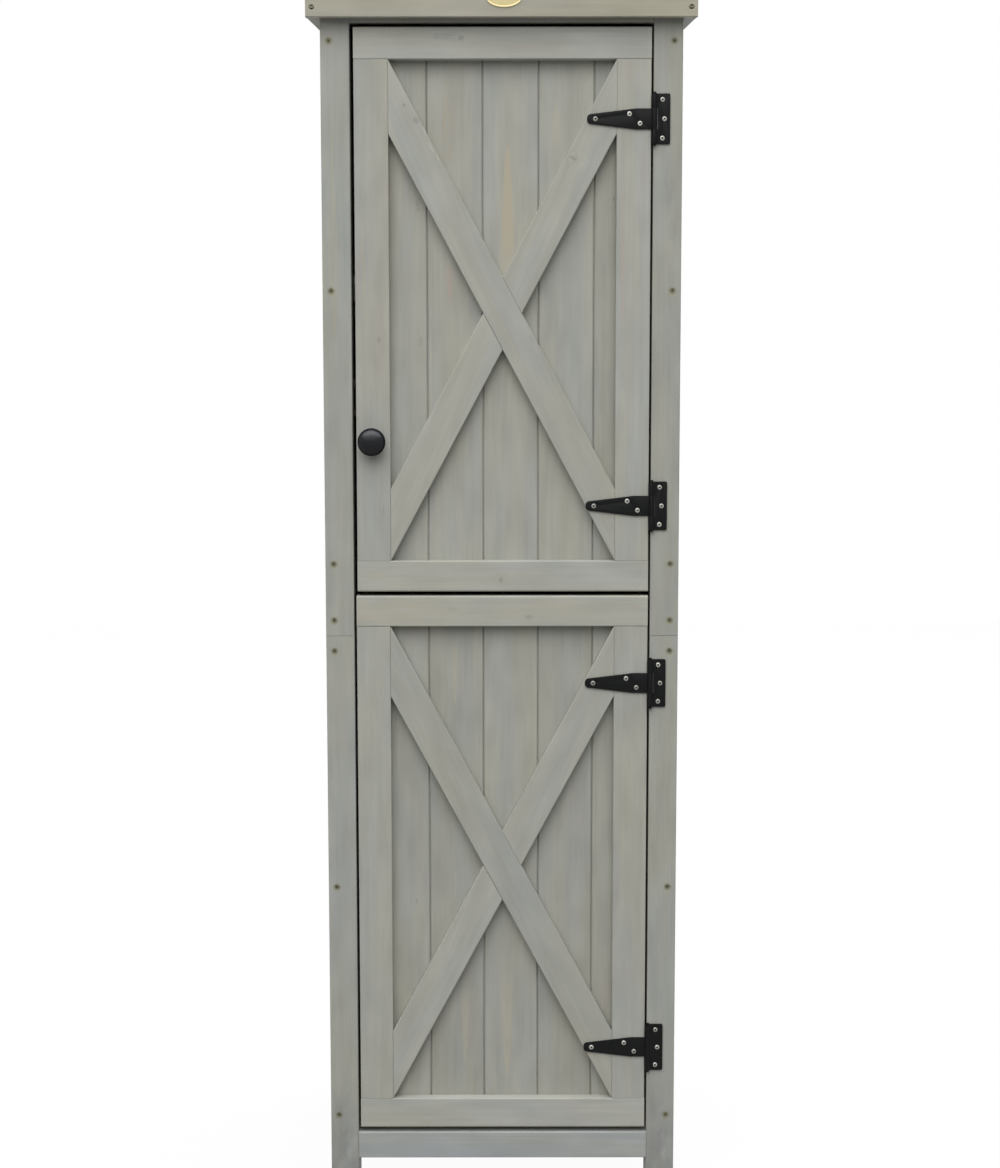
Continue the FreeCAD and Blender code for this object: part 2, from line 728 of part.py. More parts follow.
PLATE_SCREWS = [("end_screw_reach", "end_screw_rise"), ("mid_screw_reach", "0"),
                ("end_screw_reach", "-end_screw_rise")]
STRAP_SCREWS = [("tip_screw_reach", "0"), ("high_screw_reach", "high_screw_rise"),
                ("low_screw_reach", "-low_screw_drop")]


def make_hinge_plate():
    """The plate, with its pin axis at its own origin and its leaf towards +X."""
    low = "hinge_plate_height / 2 - strap_height / 2"
    high = "hinge_plate_height / 2 + strap_height / 2"
    notch = "knuckle_radius + knuckle_clearance"
    body = new_body("plate_leaf")
    points = [("0", "0"), ("hinge_plate_reach", "0"), ("hinge_plate_reach", "hinge_plate_height"),
              ("0", "hinge_plate_height"), ("0", high), (notch, high), (notch, low), ("0", low)]
    leaf = pad(body, outline(body, "XZ_Plane", points), "Y", "leaf_thickness")
    far_edge = number("hinge_plate_reach")
    ease(body, leaf, lambda edge: along(Y_AXIS)(edge) and abs(edge.Vertexes[0].X - far_edge) < NEAR,
         "plate_corner")
    place(body, "0", "knuckle_radius - leaf_thickness", "-hinge_plate_height / 2")
    pieces = [body]
    length = f"{low} - knuckle_clearance"
    for end, z in (("low", "-hinge_plate_height / 2"),
                   ("high", "strap_height / 2 + knuckle_clearance")):
        pieces.append(place(cylinder(f"plate_knuckle_{end}", "knuckle_radius", length), "0", "0", z))
    bore = place(cylinder("plate_bore", "bore_radius", "2 * hinge_plate_height"), "0", "0",
                 "-hinge_plate_height")
    plate = cut("plate_rolled", fuse("plate_solid", pieces), bore)
    holes = [place(copy(f"plate_hole_{index}", pan_bore), x, "knuckle_radius - leaf_thickness", z)
             for index, (x, z) in enumerate(PLATE_SCREWS)]
    return cut("hinge_plate", plate, group("plate_holes", holes))


def make_hinge_strap():
    """The strap, with its pin axis at its own origin and its leaf towards -X."""
    middle = "strap_height / 2"
    root = "strap_reach"
    shoulder = "strap_reach - strap_shoulder"
    body = new_body("strap_leaf")
    points = [("0", f"{middle} - strap_tip_height / 2"), (shoulder, "0"), (root, "0"),
              (root, "strap_height"), (shoulder, "strap_height"),
              ("0", f"{middle} + strap_tip_height / 2")]
    leaf = pad(body, outline(body, "XZ_Plane", points), "Y", "leaf_thickness")
    ease(body, leaf, lambda edge: along(Y_AXIS)(edge) and edge.Vertexes[0].X < NEAR,
         "strap_tip_round")
    place(body, "-strap_reach", "knuckle_radius - leaf_thickness", f"-{middle}")
    knuckle = place(cylinder("strap_knuckle", "knuckle_radius", "strap_height"), "0", "0",
                    f"-{middle}")
    bore = place(cylinder("strap_bore", "bore_radius", "2 * strap_height"), "0", "0",
                 "-strap_height")
    strap = cut("strap_rolled", fuse("strap_solid", [body, knuckle]), bore)
    holes = [place(copy(f"strap_hole_{index}", pan_bore), f"-{x}",
                   "knuckle_radius - leaf_thickness", z)
             for index, (x, z) in enumerate(STRAP_SCREWS)]
    return cut("hinge_strap", strap, group("strap_holes", holes))


def make_hinge_pin():
    """The pin, with a small head beyond each end of the plate."""
    shank = place(cylinder("pin_shank", "pin_radius", "hinge_plate_height"), "0", "0",
                  "-hinge_plate_height / 2")
    heads = [place(cylinder(f"pin_head_{index}", "pin_head_radius", "pin_head_height"), "0", "0", z)
             for index, z in enumerate(("-hinge_plate_height / 2 - pin_head_height",
                                        "hinge_plate_height / 2"))]
    return fuse("hinge_pin", [shank] + heads)


DOORS = ("upper_door", "lower_door")
HINGE_LEVELS = {
    "upper_door": ["upper_door_bottom + bottom_hinge_rise", "upper_door_top - top_hinge_drop"],
    "lower_door": ["lower_door_bottom + bottom_hinge_rise", "lower_door_top - top_hinge_drop"],
}


def pan_copies(name, master, levels, spots, sign):
    """Copies of a pan screw or its bore at the spots of each hinge."""
    items = []
    for hinge, level in enumerate(levels):
        for index, (x, z) in enumerate(spots):
            item = copy(f"{name}_{hinge}_{index}", master)
            place(item, f"hinge_x {sign} {x}", "front - leaf_thickness", f"{level} + {z}")
            items.append(item)
    return group(name, items)


def build_root_hinges():
    levels = HINGE_LEVELS["upper_door"] + HINGE_LEVELS["lower_door"]
    plate = make_hinge_plate()
    pin = make_hinge_pin()
    plates = [place(copy(f"hinge_plate_{index}", plate), "hinge_x", "hinge_y", level)
              for index, level in enumerate(levels)]
    pins = [place(copy(f"hinge_pin_{index}", pin), "hinge_x", "hinge_y", level)
            for index, level in enumerate(levels)]
    node("hinge_plates", group("hinge_plates", plates))
    node("hinge_pins", group("hinge_pins", pins))
    node("hinge_plate_screws", pan_copies("hinge_plate_screws", pan_screw, levels, PLATE_SCREWS, "+"))
    return pan_copies("plate_bores", pan_bore, levels, PLATE_SCREWS, "+")


# Doors

def brace_rise(width):
    """The height of a brace's upright end, for a panel's width and the brace's own width."""
    root = f"sqrt(({width}) * ({width}) + panel_height * panel_height - brace_width * brace_width)"
    return (f"((brace_width * ({width}) * {root} - brace_width * brace_width * panel_height)"
            f" / (({width}) * ({width}) - brace_width * brace_width))")


def brace(name, points, corner):
    body = new_body(name)
    stick = pad(body, outline(body, "XZ_Plane", points), "Y", "trim_thickness")
    start = stick.Shape.BoundBox.YMin

    def long_front_edge(edge):
        step = edge.Vertexes[-1].Point - edge.Vertexes[0].Point
        return (edge.BoundBox.YMax < start + NEAR and abs(step.z) > NEAR and abs(step.x) > NEAR
                and edge.Length > 1.5 * number("brace_width"))
    ease(body, stick, long_front_edge)
    return place(body, *corner)


def build_braces(door, width, corner, bores):
    """One brace that runs through and two that butt on it, all flush with the stiles."""
    rise = brace_rise(width)
    tall = "panel_height"
    fall = f"({tall} - {rise})"
    full = brace(f"{door}_full_stick",
                 [("0", fall), (width, "0"), (width, rise), ("0", tall)], corner)
    name = f"{door}_brace_full"
    node(name, cut(name, full, bores))
    crossing = f"({tall} * ({width}) / (2 * {fall}))"
    near = f"(({tall} - 2 * {rise}) * ({width}) / (2 * {fall}))"
    middle = f"({width}) / 2"
    top = brace(f"{door}_half_top",
                [(middle, f"({tall} + {rise}) / 2"), (crossing, f"{tall} / 2"), (width, fall),
                 (width, tall)], corner)
    low = brace(f"{door}_half_low",
                [("0", "0"), (middle, f"{fall} / 2"), (near, f"{tall} / 2"), ("0", rise)], corner)
    name = f"{door}_brace_halves"
    node(name, cut(name, group(f"{door}_halves", [top, low]), bores))


def build_door(door, strap):
    """A door of rails, stiles and braces on upright boards."""
    bottom = f"{door}_bottom"
    latch_gap = "upper_latch_gap" if door == "upper_door" else "lower_latch_gap"
    left = f"(-opening + {latch_gap})"
    width = f"(opening - hinge_gap - {left})"
    levels = HINGE_LEVELS[door]
    bores = pan_copies(f"{door}_strap_bores", pan_bore, levels, STRAP_SCREWS, "-")
    node(f"{door}_strap_screws",
         pan_copies(f"{door}_strap_screws", pan_screw, levels, STRAP_SCREWS, "-"))
    straps = [place(copy(f"{door}_strap_{index}", strap), "hinge_x", "hinge_y", level)
              for index, level in enumerate(levels)]
    node(f"{door}_hinge_straps", group(f"{door}_hinge_straps", straps))

    for end, z in (("top", f"{door}_top - door_rail_height"), ("bottom", bottom)):
        node(f"{door}_rail_{end}",
             door_rail(f"{door}_rail_{end}", end, width, (left, "front", z)))
    stile_size = ("stile_width", "trim_thickness", "panel_height")
    stile_low = f"{bottom} + door_rail_height"
    hinge_stile = timber(f"{door}_hinge_stick", "Z", stile_size,
                         ("opening - hinge_gap - stile_width", "front", stile_low))
    name = f"{door}_stile_hinge"
    node(name, cut(name, hinge_stile, bores))
    latch_stile = timber(f"{door}_latch_stick", "Z", stile_size, (left, "front", stile_low))
    panel = upright_panel(f"{door}_panel", (left, "front + trim_thickness", bottom), 0, width,
                          "door_height", f"first_joint - {latch_gap}")
    if door == "upper_door":
        latch_stile = cut("latch_stile_bored", latch_stile, knob_bore)
        panel = cut("upper_panel_bored", panel, knob_bore)
    node(f"{door}_stile_latch", latch_stile)
    node(f"{door}_boards", panel)
    build_braces(door, f"({width} - 2 * stile_width)", (f"{left} + stile_width", "front", stile_low),
                 bores)
    strike_z = catch_level(door)
    node(f"{door}_strike_plate",
         block(f"{door}_strike_plate", ("strike_width", "strike_thickness", "strike_height"),
               (f"{left} + strike_inset", "front + door_thickness",
                f"{strike_z} - strike_height / 2")))


# Knob and catches

def knob_centre():
    return "-opening + upper_latch_gap + knob_inset", "upper_door_bottom + knob_height"


def knob_piece(item, depth):
    """Stand a turned piece on the knob's axis, pointing out, from a height above the stile."""
    x, z = knob_centre()
    return place(turn(item, X_AXIS, "90"), x, f"front - ({depth})", z)


def build_knob():
    """A domed knob on a flared neck, held by a screw from behind."""
    foot = knob_piece(cylinder("knob_foot", "knob_foot_radius", "knob_foot_height"), "0")
    neck = knob_piece(cylinder("knob_neck", "knob_neck_radius", "knob_neck_height"), "0")
    flare = knob_piece(cone("knob_flare", "knob_neck_radius", "knob_radius", "knob_flare_height"),
                       "knob_neck_height")
    rim_start = "knob_neck_height + knob_flare_height"
    rim = knob_piece(cylinder("knob_rim", "knob_radius", "knob_rim_height"), rim_start)
    dome = document.addObject("Part::Ellipsoid", "knob_dome")
    bind(dome, "Radius1", "knob_dome_height")
    bind(dome, "Radius2", "knob_radius - 2 * knob_bead_radius")
    dome.Angle1 = 0
    knob_piece(dome, "knob_reach")
    bead = document.addObject("Part::Torus", "knob_bead")
    bind(bead, "Radius1", "knob_radius - knob_bead_radius")
    bind(bead, "Radius2", "knob_bead_radius")
    knob_piece(bead, "knob_reach")
    solid = fuse("knob_solid", [foot, neck, flare, rim, dome, bead])
    node("door_knob", cut("door_knob", solid, knob_bore))
    shank = knob_piece(cylinder("knob_screw_shank", "knob_screw_radius", KNOB_SCREW_LENGTH),
                       "-door_thickness")
    head = document.addObject("Part::Ellipsoid", "knob_screw_head")
    bind(head, "Radius1", "pan_head_height")
    bind(head, "Radius2", "pan_head_radius")
    head.Angle1 = 0
    x, z = knob_centre()
    place(turn(head, X_AXIS, "-90"), x, "front + door_thickness", z)
    node("knob_screw", fuse("knob_screw", [shank, head]))


KNOB_SCREW_LENGTH = "door_thickness + knob_screw_bite"
knob_bore = knob_piece(cylinder("knob_bore", "knob_screw_radius", KNOB_SCREW_LENGTH),
                       "-door_thickness")


def catch_level(door):
    if door == "upper_door":
        return "upper_door_bottom + upper_catch_height"
    return "lower_door_top - lower_catch_drop"


def build_catches():
    catches = [block(f"catch_{door}", ("catch_width", "catch_depth", "catch_height"),
                     ("-opening", "front + door_thickness + strike_thickness + catch_air",
                      f"{catch_level(door)} - catch_height / 2"))
               for door in DOORS]
    node("magnetic_catches", group("magnetic_catches", catches))


# The whole cabinet

build_roof()
build_posts(build_root_hinges())
build_face_rails()
build_sides()
build_back()
build_shelves()
hinge_strap = make_hinge_strap()
for door in DOORS:
    build_door(door, hinge_strap)
build_knob()
build_catches()
document.recompute()

for item in document.Objects:
    if "Invalid" in item.State or "Error" in item.State:
        raise RuntimeError(f"{item.Name} failed: {item.State}")

os.makedirs("parts", exist_ok=True)
box = FreeCAD.BoundBox()
for item in nodes:
    shape = item.Shape
    if shape.isNull() or not shape.isValid():
        raise RuntimeError(f"{item.Label} has no valid shape")
    box.add(shape.BoundBox)
    print(f"{item.Label}: {len(shape.Solids)} solids, {shape.Volume / 1000:.1f} cm3")
for item in nodes:
    item.Shape.exportStep(f"parts/{item.Label}.step")
print(f"{len(nodes)} sub-parts, box {box}")
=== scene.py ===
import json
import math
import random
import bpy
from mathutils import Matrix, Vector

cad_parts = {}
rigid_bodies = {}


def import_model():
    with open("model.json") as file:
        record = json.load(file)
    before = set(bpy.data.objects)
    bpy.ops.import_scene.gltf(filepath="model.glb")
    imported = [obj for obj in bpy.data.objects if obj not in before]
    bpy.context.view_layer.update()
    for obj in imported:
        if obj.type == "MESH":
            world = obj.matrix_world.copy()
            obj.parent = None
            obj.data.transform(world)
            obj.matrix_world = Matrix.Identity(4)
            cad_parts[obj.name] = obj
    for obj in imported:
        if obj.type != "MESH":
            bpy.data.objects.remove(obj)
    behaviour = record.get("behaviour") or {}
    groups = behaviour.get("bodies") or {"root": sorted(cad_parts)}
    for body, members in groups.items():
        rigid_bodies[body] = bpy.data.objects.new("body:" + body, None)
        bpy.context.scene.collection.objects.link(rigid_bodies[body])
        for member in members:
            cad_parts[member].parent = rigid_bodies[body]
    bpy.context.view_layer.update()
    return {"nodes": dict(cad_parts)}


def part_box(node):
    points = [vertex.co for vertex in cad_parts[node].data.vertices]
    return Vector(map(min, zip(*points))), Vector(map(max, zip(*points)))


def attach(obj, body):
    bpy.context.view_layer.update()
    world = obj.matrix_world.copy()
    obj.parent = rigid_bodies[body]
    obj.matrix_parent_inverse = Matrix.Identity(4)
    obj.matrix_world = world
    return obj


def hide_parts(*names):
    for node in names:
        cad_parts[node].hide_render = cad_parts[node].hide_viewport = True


bl_info = {
    "name": "Garden Storage Cabinet",
    "version": (1, 0, 0),
    "blender": (4, 5, 0),
    "location": "View3D > Sidebar > Cabinet",
    "description": "Timber stain, screws, hinges, knob, felt and studio for the garden storage cabinet",
    "category": "Object",
}

import bmesh
import bpy
from mathutils import Euler, Matrix, Vector

for leftover in list(bpy.data.objects):
    bpy.data.objects.remove(leftover)
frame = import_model()
NODES = frame["nodes"]
MM = 0.001


def linear(code):
    """An sRGB hex colour as linear red, green and blue."""
    values = [int(code[at:at + 2], 16) / 255 for at in (0, 2, 4)]
    return [value / 12.92 if value <= 0.04045 else ((value + 0.055) / 1.055) ** 2.4 for value in values]


def opaque(code):
    """An sRGB hex colour as linear red, green, blue and full alpha."""
    return (*linear(code), 1)


def colour(name, description, code):
    """A colour property with an sRGB hex default."""
    return bpy.props.FloatVectorProperty(name=name, description=description, subtype="COLOR", size=3,
                                         min=0, max=1, default=linear(code))


def number(name, description, default, **more):
    """A number property, with a unit or subtype where one fits."""
    return bpy.props.FloatProperty(name=name, description=description, default=default, **more)


def size(name, description, millimetres):
    """A length property with its default in millimetres."""
    return number(name, description, millimetres * MM, unit="LENGTH", precision=5)


# Settings

class TimberSettings(bpy.types.PropertyGroup):
    """The stain's colours and the size of the grain."""
    post_stain: colour("Post stain", "Mean colour of the posts and rails", "a3a49e")
    door_stain: colour("Door stain", "Mean colour of the door stiles and braces", "a8a8a1")
    rail_stain: colour("Rail stain", "Mean colour of the door rails", "adada6")
    board_stain: colour("Board stain", "Mean colour of the tongue and groove boards", "a5a59e")
    fascia_stain: colour("Fascia stain", "Mean colour of the fascia", "b1ad9e")
    plinth_stain: colour("Plinth stain", "Mean colour of the plinth rail", "a3a6a5")
    inner_stain: colour("Inner stain", "Mean colour of the floors, shelves and roof deck", "b3ad9c")
    ring_spacing: size("Ring spacing", "Distance between the growth rings", 4.5)
    streak_width: size("Streak width", "Width of the stain's soft streaks", 6)
    fibre_width: size("Fibre width", "Width of the fine fibres", 1.1)
    roughness: number("Roughness", "Roughness of the matt stain", 0.54)


class FixingSettings(bpy.types.PropertyGroup):
    """Sizes of the screws."""
    pan_radius: size("Pan head radius", "Radius of the hinge screws' heads", 3.4)
    pan_height: size("Pan head height", "Height of the hinge screws' heads", 1.6)
    pan_shank: size("Pan shank radius", "Radius of the hinge screws' shanks", 1.5)
    pan_length: size("Pan length", "Length of the hinge screws under their heads", 14)
    sunk_radius: size("Countersunk radius", "Radius of the frame screws' heads", 3.55)
    sunk_height: size("Countersunk height", "Height of the frame screws' heads", 2.2)
    sunk_shank: size("Frame shank radius", "Radius of the frame screws' shanks", 2)
    sunk_length: size("Frame screw length", "Length of the frame screws", 75)
    recess_length: size("Recess length", "Length of the cross recess", 3.6)
    recess_width: size("Recess width", "Width of the cross recess", 1.1)
    recess_depth: size("Recess depth", "Depth of the cross recess", 1.1)
    seed: bpy.props.IntProperty(name="Seed", description="Seed of the screws' turn", default=11)


class HingeSettings(bpy.types.PropertyGroup):
    """Finish of the hinges."""
    edge: size("Edge rounding", "Rounding of the pressed edges", 0.35)
    powder: colour("Powder coat", "Colour of the black powder coat", "08090a")


class KnobSettings(bpy.types.PropertyGroup):
    """Sizes of the door knob."""
    radius: size("Radius", "Radius of the knob", 18)
    foot_radius: size("Foot radius", "Radius of the knob's foot", 9)
    foot_height: size("Foot height", "Height of the knob's foot", 3)
    neck_radius: size("Neck radius", "Radius of the knob's neck", 6.5)
    neck_height: size("Neck height", "Height of the foot and neck", 8)
    rim_height: size("Rim height", "Distance from the stile to the rim's face", 16)
    reach: size("Reach", "Distance from the stile to the top of the dome", 24)
    lacquer: colour("Lacquer", "Colour of the knob's black lacquer", "08090b")


class RoofSettings(bpy.types.PropertyGroup):
    """The blank plate and the roof felt."""
    brass: colour("Brass", "Colour of the blank brass plate", "b7aa80")
    rim_width: size("Plate rim", "Width of the plate's raised rim", 1.6)
    felt: colour("Felt", "Colour of the felt's mineral grit", "50544f")
    nail_pitch: size("Nail pitch", "Distance between the clout nails", 60)
    nail_radius: size("Nail head radius", "Radius of the clout nails' heads", 4.5)


class StudioSettings(bpy.types.PropertyGroup):
    """Light and camera."""
    distance: number("Camera distance", "From the front posts", 2.5, unit="LENGTH")
    height: number("Camera height", "Above the floor", 1.0929, unit="LENGTH")
    pitch: number("Camera pitch", "Angle below level", math.radians(6.138), subtype="ANGLE")
    roll: number("Camera roll", "Turn about the line of sight", math.radians(-0.05), subtype="ANGLE")
    lens: number("Lens", "Focal length for a 36 mm frame height", 59.45)
    sky: number("Light from all round", "Strength of the level part of the room light", 0.02)
    zenith: number("Light from above", "Strength of the upper part of the room light", 2.2)
    softbox: number("Softbox", "Power of the large lamp in front", 209.0, unit="POWER")
    rear: number("Rear softbox", "Power of the lamp behind, on the right", 125.0, unit="POWER")
    card: number("Knob card", "Power of the lamp that only the knob reflects", 235.0, unit="POWER")


# Nodes

MATH = "ShaderNodeMath"
VECTOR = "ShaderNodeVectorMath"
SPLIT = "ShaderNodeSeparateXYZ"
JOIN = "ShaderNodeCombineXYZ"
NOISE = "ShaderNodeTexNoise"
RANGE = "ShaderNodeMapRange"
BLEND = "ShaderNodeMix"
BUMP = "ShaderNodeBump"
TRANSFORM = "GeometryNodeTransform"
ATTRIBUTE = "GeometryNodeInputNamedAttribute"
FINISH = "GeometryNodeSetMaterial"


def fill(tree, node, inputs):
    """Link or fill a node's inputs."""
    for key, value in inputs.items():
        if isinstance(value, bpy.types.NodeSocket):
            tree.links.new(value, node.inputs[key])
        else:
            node.inputs[key].default_value = value


def add(tree, kind, inputs=None, **settings):
    """Add a node, apply its settings, and link or fill its inputs."""
    node = tree.nodes.new(kind)
    for name, value in settings.items():
        setattr(node, name, value)
    fill(tree, node, inputs or {})
    return node


def new_tree(name, kind, inputs, outputs):
    """An empty node group with named sockets, and its input and output nodes."""
    tree = bpy.data.node_groups.new(name, kind)
    for label, socket in inputs.items():
        tree.interface.new_socket(label, in_out="INPUT", socket_type="NodeSocket" + socket)
    for label, socket in outputs.items():
        tree.interface.new_socket(label, in_out="OUTPUT", socket_type="NodeSocket" + socket)
    start = tree.nodes.new("NodeGroupInput").outputs
    end = tree.nodes.new("NodeGroupOutput")
    return tree, start, end


def new_material(name):
    """A material with its tree, shader and output, and the object's own coordinates."""
    material = bpy.data.materials.new(name)
    material.use_nodes = True
    tree = material.node_tree
    shader = tree.nodes["Principled BSDF"]
    place = tree.nodes.new("ShaderNodeTexCoord").outputs["Object"]
    return material, tree, shader, place


# Stain

# Noise scale where the coordinates are already divided by the pattern's size
READY = 1.0
# How far apart in the grain two pieces are cut, in metres
CUT_APART = (0.5, 0.5, 9.0)
# How far the grain wanders sideways, in metres
SWAY = (0.016, 0.016, 0)
COOL_TINT = (0.98, 1.0, 1.02, 1)
WARM_TINT = (1.02, 1.008, 0.955, 1)
ROSY_TINT = (1.05, 0.985, 0.975, 1)
BEIGE_TINT = (1.11, 1.05, 0.92, 1)


def grain_scale(width, length):
    """The scale of a pattern from its size across and along the grain in millimetres."""
    return (1 / (width * MM), 1 / (width * MM), 1 / (length * MM))


def stained_fir(timber):
    """A solid pattern whose grain runs along Z."""
    # A translucent grey stain brushed on planed fir. The eye gets a matt grey with soft darker and
    # paler streaks, fine raised fibres, thin beige lines of latewood and a faint pink or warm cast.
    tree, start, end = new_tree("Stained fir", "ShaderNodeTree",
                                {"Grain": "Vector", "Piece": "Float", "Stain": "Color"},
                                {"Colour": "Color", "Height": "Float", "Roughness": "Float"})
    chance = add(tree, "ShaderNodeTexWhiteNoise", {"W": start["Piece"]}, noise_dimensions="1D")
    moved = add(tree, VECTOR, {0: chance.outputs["Color"], 1: CUT_APART, 2: start["Grain"]},
                operation="MULTIPLY_ADD").outputs[0]
    sway_at = add(tree, VECTOR, {0: moved, 1: grain_scale(111.11, 416.67)}, operation="MULTIPLY").outputs[0]
    sway = add(tree, NOISE, {"Vector": sway_at, "Scale": READY, "Detail": 1.0}).outputs["Color"]
    swayed = add(tree, VECTOR, {0: sway, 1: SWAY, 2: moved}, operation="MULTIPLY_ADD").outputs[0]

    # Each layer: what it follows, its width and length in millimetres, and its detail
    layers = {
        "patch": (moved, 18.182, 250.0, 1.0),
        "streak": (swayed, timber.streak_width / MM, 142.86, 2.5),
        "fibre": (swayed, timber.fibre_width / MM, 45.455, 2.0),
        "warm": (moved, 33.333, 250.0, 1.0),
        "cloud": (moved, 23.81, 66.667, 1.5),
        "pink": (moved, 11.765, 111.11, 1.0),
    }
    noise = {}
    for layer, (source, width, length, detail) in layers.items():
        spot = add(tree, VECTOR, {0: source, 1: grain_scale(width, length)}, operation="MULTIPLY").outputs[0]
        noise[layer] = add(tree, NOISE, {"Vector": spot, "Scale": READY, "Detail": detail}).outputs["Fac"]

    across = add(tree, VECTOR, {0: swayed, 1: (1, 1, 0)}, operation="MULTIPLY").outputs[0]
    pith = add(tree, VECTOR, {0: across}, operation="LENGTH").outputs["Value"]
    ring = add(tree, MATH, {0: pith, 1: timber.ring_spacing}, operation="DIVIDE").outputs[0]
    phase = add(tree, MATH, {0: ring}, operation="FRACT").outputs[0]
    late = add(tree, MATH, {0: phase, 1: 5.0}, operation="POWER").outputs[0]
    shown = add(tree, RANGE, {"Value": noise["patch"], "From Min": 0.5, "From Max": 0.72}).outputs[0]
    latewood = add(tree, MATH, {0: late, 1: shown}, operation="MULTIPLY").outputs[0]

    warmth = add(tree, RANGE, {"Value": noise["warm"], "From Min": 0.33, "From Max": 0.67}).outputs[0]
    blush = add(tree, RANGE, {"Value": noise["pink"], "From Min": 0.6, "From Max": 0.78,
                              "To Max": 0.5}).outputs[0]
    tint = COOL_TINT
    for amount, other in ((warmth, WARM_TINT), (blush, ROSY_TINT), (latewood, BEIGE_TINT)):
        tint = add(tree, BLEND, {0: amount, 6: tint, 7: other}, data_type="RGBA").outputs[2]
    tinted = add(tree, VECTOR, {0: start["Stain"], 1: tint}, operation="MULTIPLY").outputs[0]
    light = add(tree, RANGE, {"Value": chance.outputs["Value"], "To Min": 0.965, "To Max": 1.035}).outputs[0]
    for layer, swing in (("streak", 0.04), ("fibre", 0.025), ("cloud", 0.06)):
        tone = add(tree, RANGE, {"Value": noise[layer], "From Min": 0.3, "From Max": 0.7,
                                 "To Min": 1 - swing, "To Max": 1 + swing}).outputs[0]
        light = add(tree, MATH, {0: light, 1: tone}, operation="MULTIPLY").outputs[0]
    result = add(tree, VECTOR, {0: tinted, "Scale": light}, operation="SCALE").outputs[0]
    relief = add(tree, MATH, {0: noise["fibre"], 1: 0.7, 2: latewood}, operation="MULTIPLY_ADD").outputs[0]
    rough = add(tree, RANGE, {"Value": noise["streak"], "From Min": 0.3, "From Max": 0.7,
                              "To Min": timber.roughness - 0.06, "To Max": timber.roughness + 0.06})
    fill(tree, end, {"Colour": result, "Height": relief, "Roughness": rough.outputs[0]})
    return tree


def grain_knot():
    """A knot or smear that the grain bends round. Its mask is 1 in the middle."""
    tree, start, end = new_tree("Knot", "ShaderNodeTree",
                                {"Grain": "Vector", "Centre": "Vector", "Half width": "Float",
                                 "Half length": "Float", "Bend": "Float"},
                                {"Grain": "Vector", "Mask": "Float"})
    away = add(tree, VECTOR, {0: start["Grain"], 1: start["Centre"]}, operation="SUBTRACT").outputs[0]
    parts = add(tree, SPLIT, {0: away}).outputs
    side = add(tree, MATH, {0: parts["X"], 1: start["Half width"]}, operation="DIVIDE").outputs[0]
    along = add(tree, MATH, {0: parts["Z"], 1: start["Half length"]}, operation="DIVIDE").outputs[0]
    flat = add(tree, JOIN, {"X": side, "Y": along}).outputs[0]
    reach = add(tree, VECTOR, {0: flat}, operation="LENGTH").outputs["Value"]
    mask = add(tree, RANGE, {"Value": reach, "From Min": 1.15, "From Max": 0.35},
               interpolation_type="SMOOTHSTEP").outputs[0]
    swirl = add(tree, NOISE, {"Vector": flat, "Scale": 1.6, "Detail": 3.0, "Distortion": 1.5})
    broken = add(tree, RANGE, {"Value": swirl.outputs["Fac"], "From Min": 0.38, "From Max": 0.6,
                               "To Min": 0.25}).outputs[0]
    mask = add(tree, MATH, {0: mask, 1: broken}, operation="MULTIPLY").outputs[0]
    near = add(tree, RANGE, {"Value": reach, "From Min": 5.0, "From Max": 0.0},
               interpolation_type="SMOOTHERSTEP").outputs[0]
    turn = add(tree, MATH, {0: parts["X"]}, operation="SIGN").outputs[0]
    push = add(tree, MATH, {0: near, 1: turn}, operation="MULTIPLY").outputs[0]
    push = add(tree, MATH, {0: push, 1: start["Bend"]}, operation="MULTIPLY").outputs[0]
    shift = add(tree, JOIN, {"X": push}).outputs[0]
    bent = add(tree, VECTOR, {0: start["Grain"], 1: shift}, operation="SUBTRACT").outputs[0]
    fill(tree, end, {"Grain": bent, "Mask": mask})
    return tree


def grain_flame():
    """Pointed arches of latewood, where a flat-sawn board cuts the rings."""
    tree, start, end = new_tree("Flame", "ShaderNodeTree",
                                {"Grain": "Vector", "Tip": "Vector", "Half width": "Float",
                                 "Length": "Float", "Rings": "Float"}, {"Mask": "Float"})
    away = add(tree, VECTOR, {0: start["Grain"], 1: start["Tip"]}, operation="SUBTRACT").outputs[0]
    parts = add(tree, SPLIT, {0: away}).outputs
    along = add(tree, MATH, {0: parts["Z"], 1: start["Length"]}, operation="DIVIDE").outputs[0]
    side = add(tree, MATH, {0: parts["X"], 1: start["Half width"]}, operation="DIVIDE").outputs[0]
    square = add(tree, MATH, {0: side, 1: 2.0}, operation="POWER").outputs[0]
    depth = add(tree, MATH, {0: along, 1: square}, operation="SUBTRACT").outputs[0]
    inside = add(tree, RANGE, {"Value": depth, "From Min": -0.02, "From Max": 0.06},
                 interpolation_type="SMOOTHSTEP").outputs[0]
    faded = add(tree, RANGE, {"Value": along, "From Min": 1.1, "From Max": 0.55},
                interpolation_type="SMOOTHSTEP").outputs[0]
    lines = add(tree, MATH, {0: depth, 1: start["Rings"]}, operation="MULTIPLY").outputs[0]
    lines = add(tree, MATH, {0: lines}, operation="FRACT").outputs[0]
    lines = add(tree, RANGE, {"Value": lines, "To Min": 1.0, "To Max": 0.35}).outputs[0]
    mask = add(tree, MATH, {0: inside, 1: faded}, operation="MULTIPLY").outputs[0]
    mask = add(tree, MATH, {0: mask, 1: lines}, operation="MULTIPLY").outputs[0]
    fill(tree, end, {"Mask": mask})
    return tree


# Timber

UP = (0.0, 0.0, 0.0)
ACROSS = (0.0, math.radians(-90), 0.0)
DEEP = (math.radians(90), 0.0, 0.0)
# How many arches of latewood a flame mark has. A wedge is plain
FLAME_RINGS = 3.0


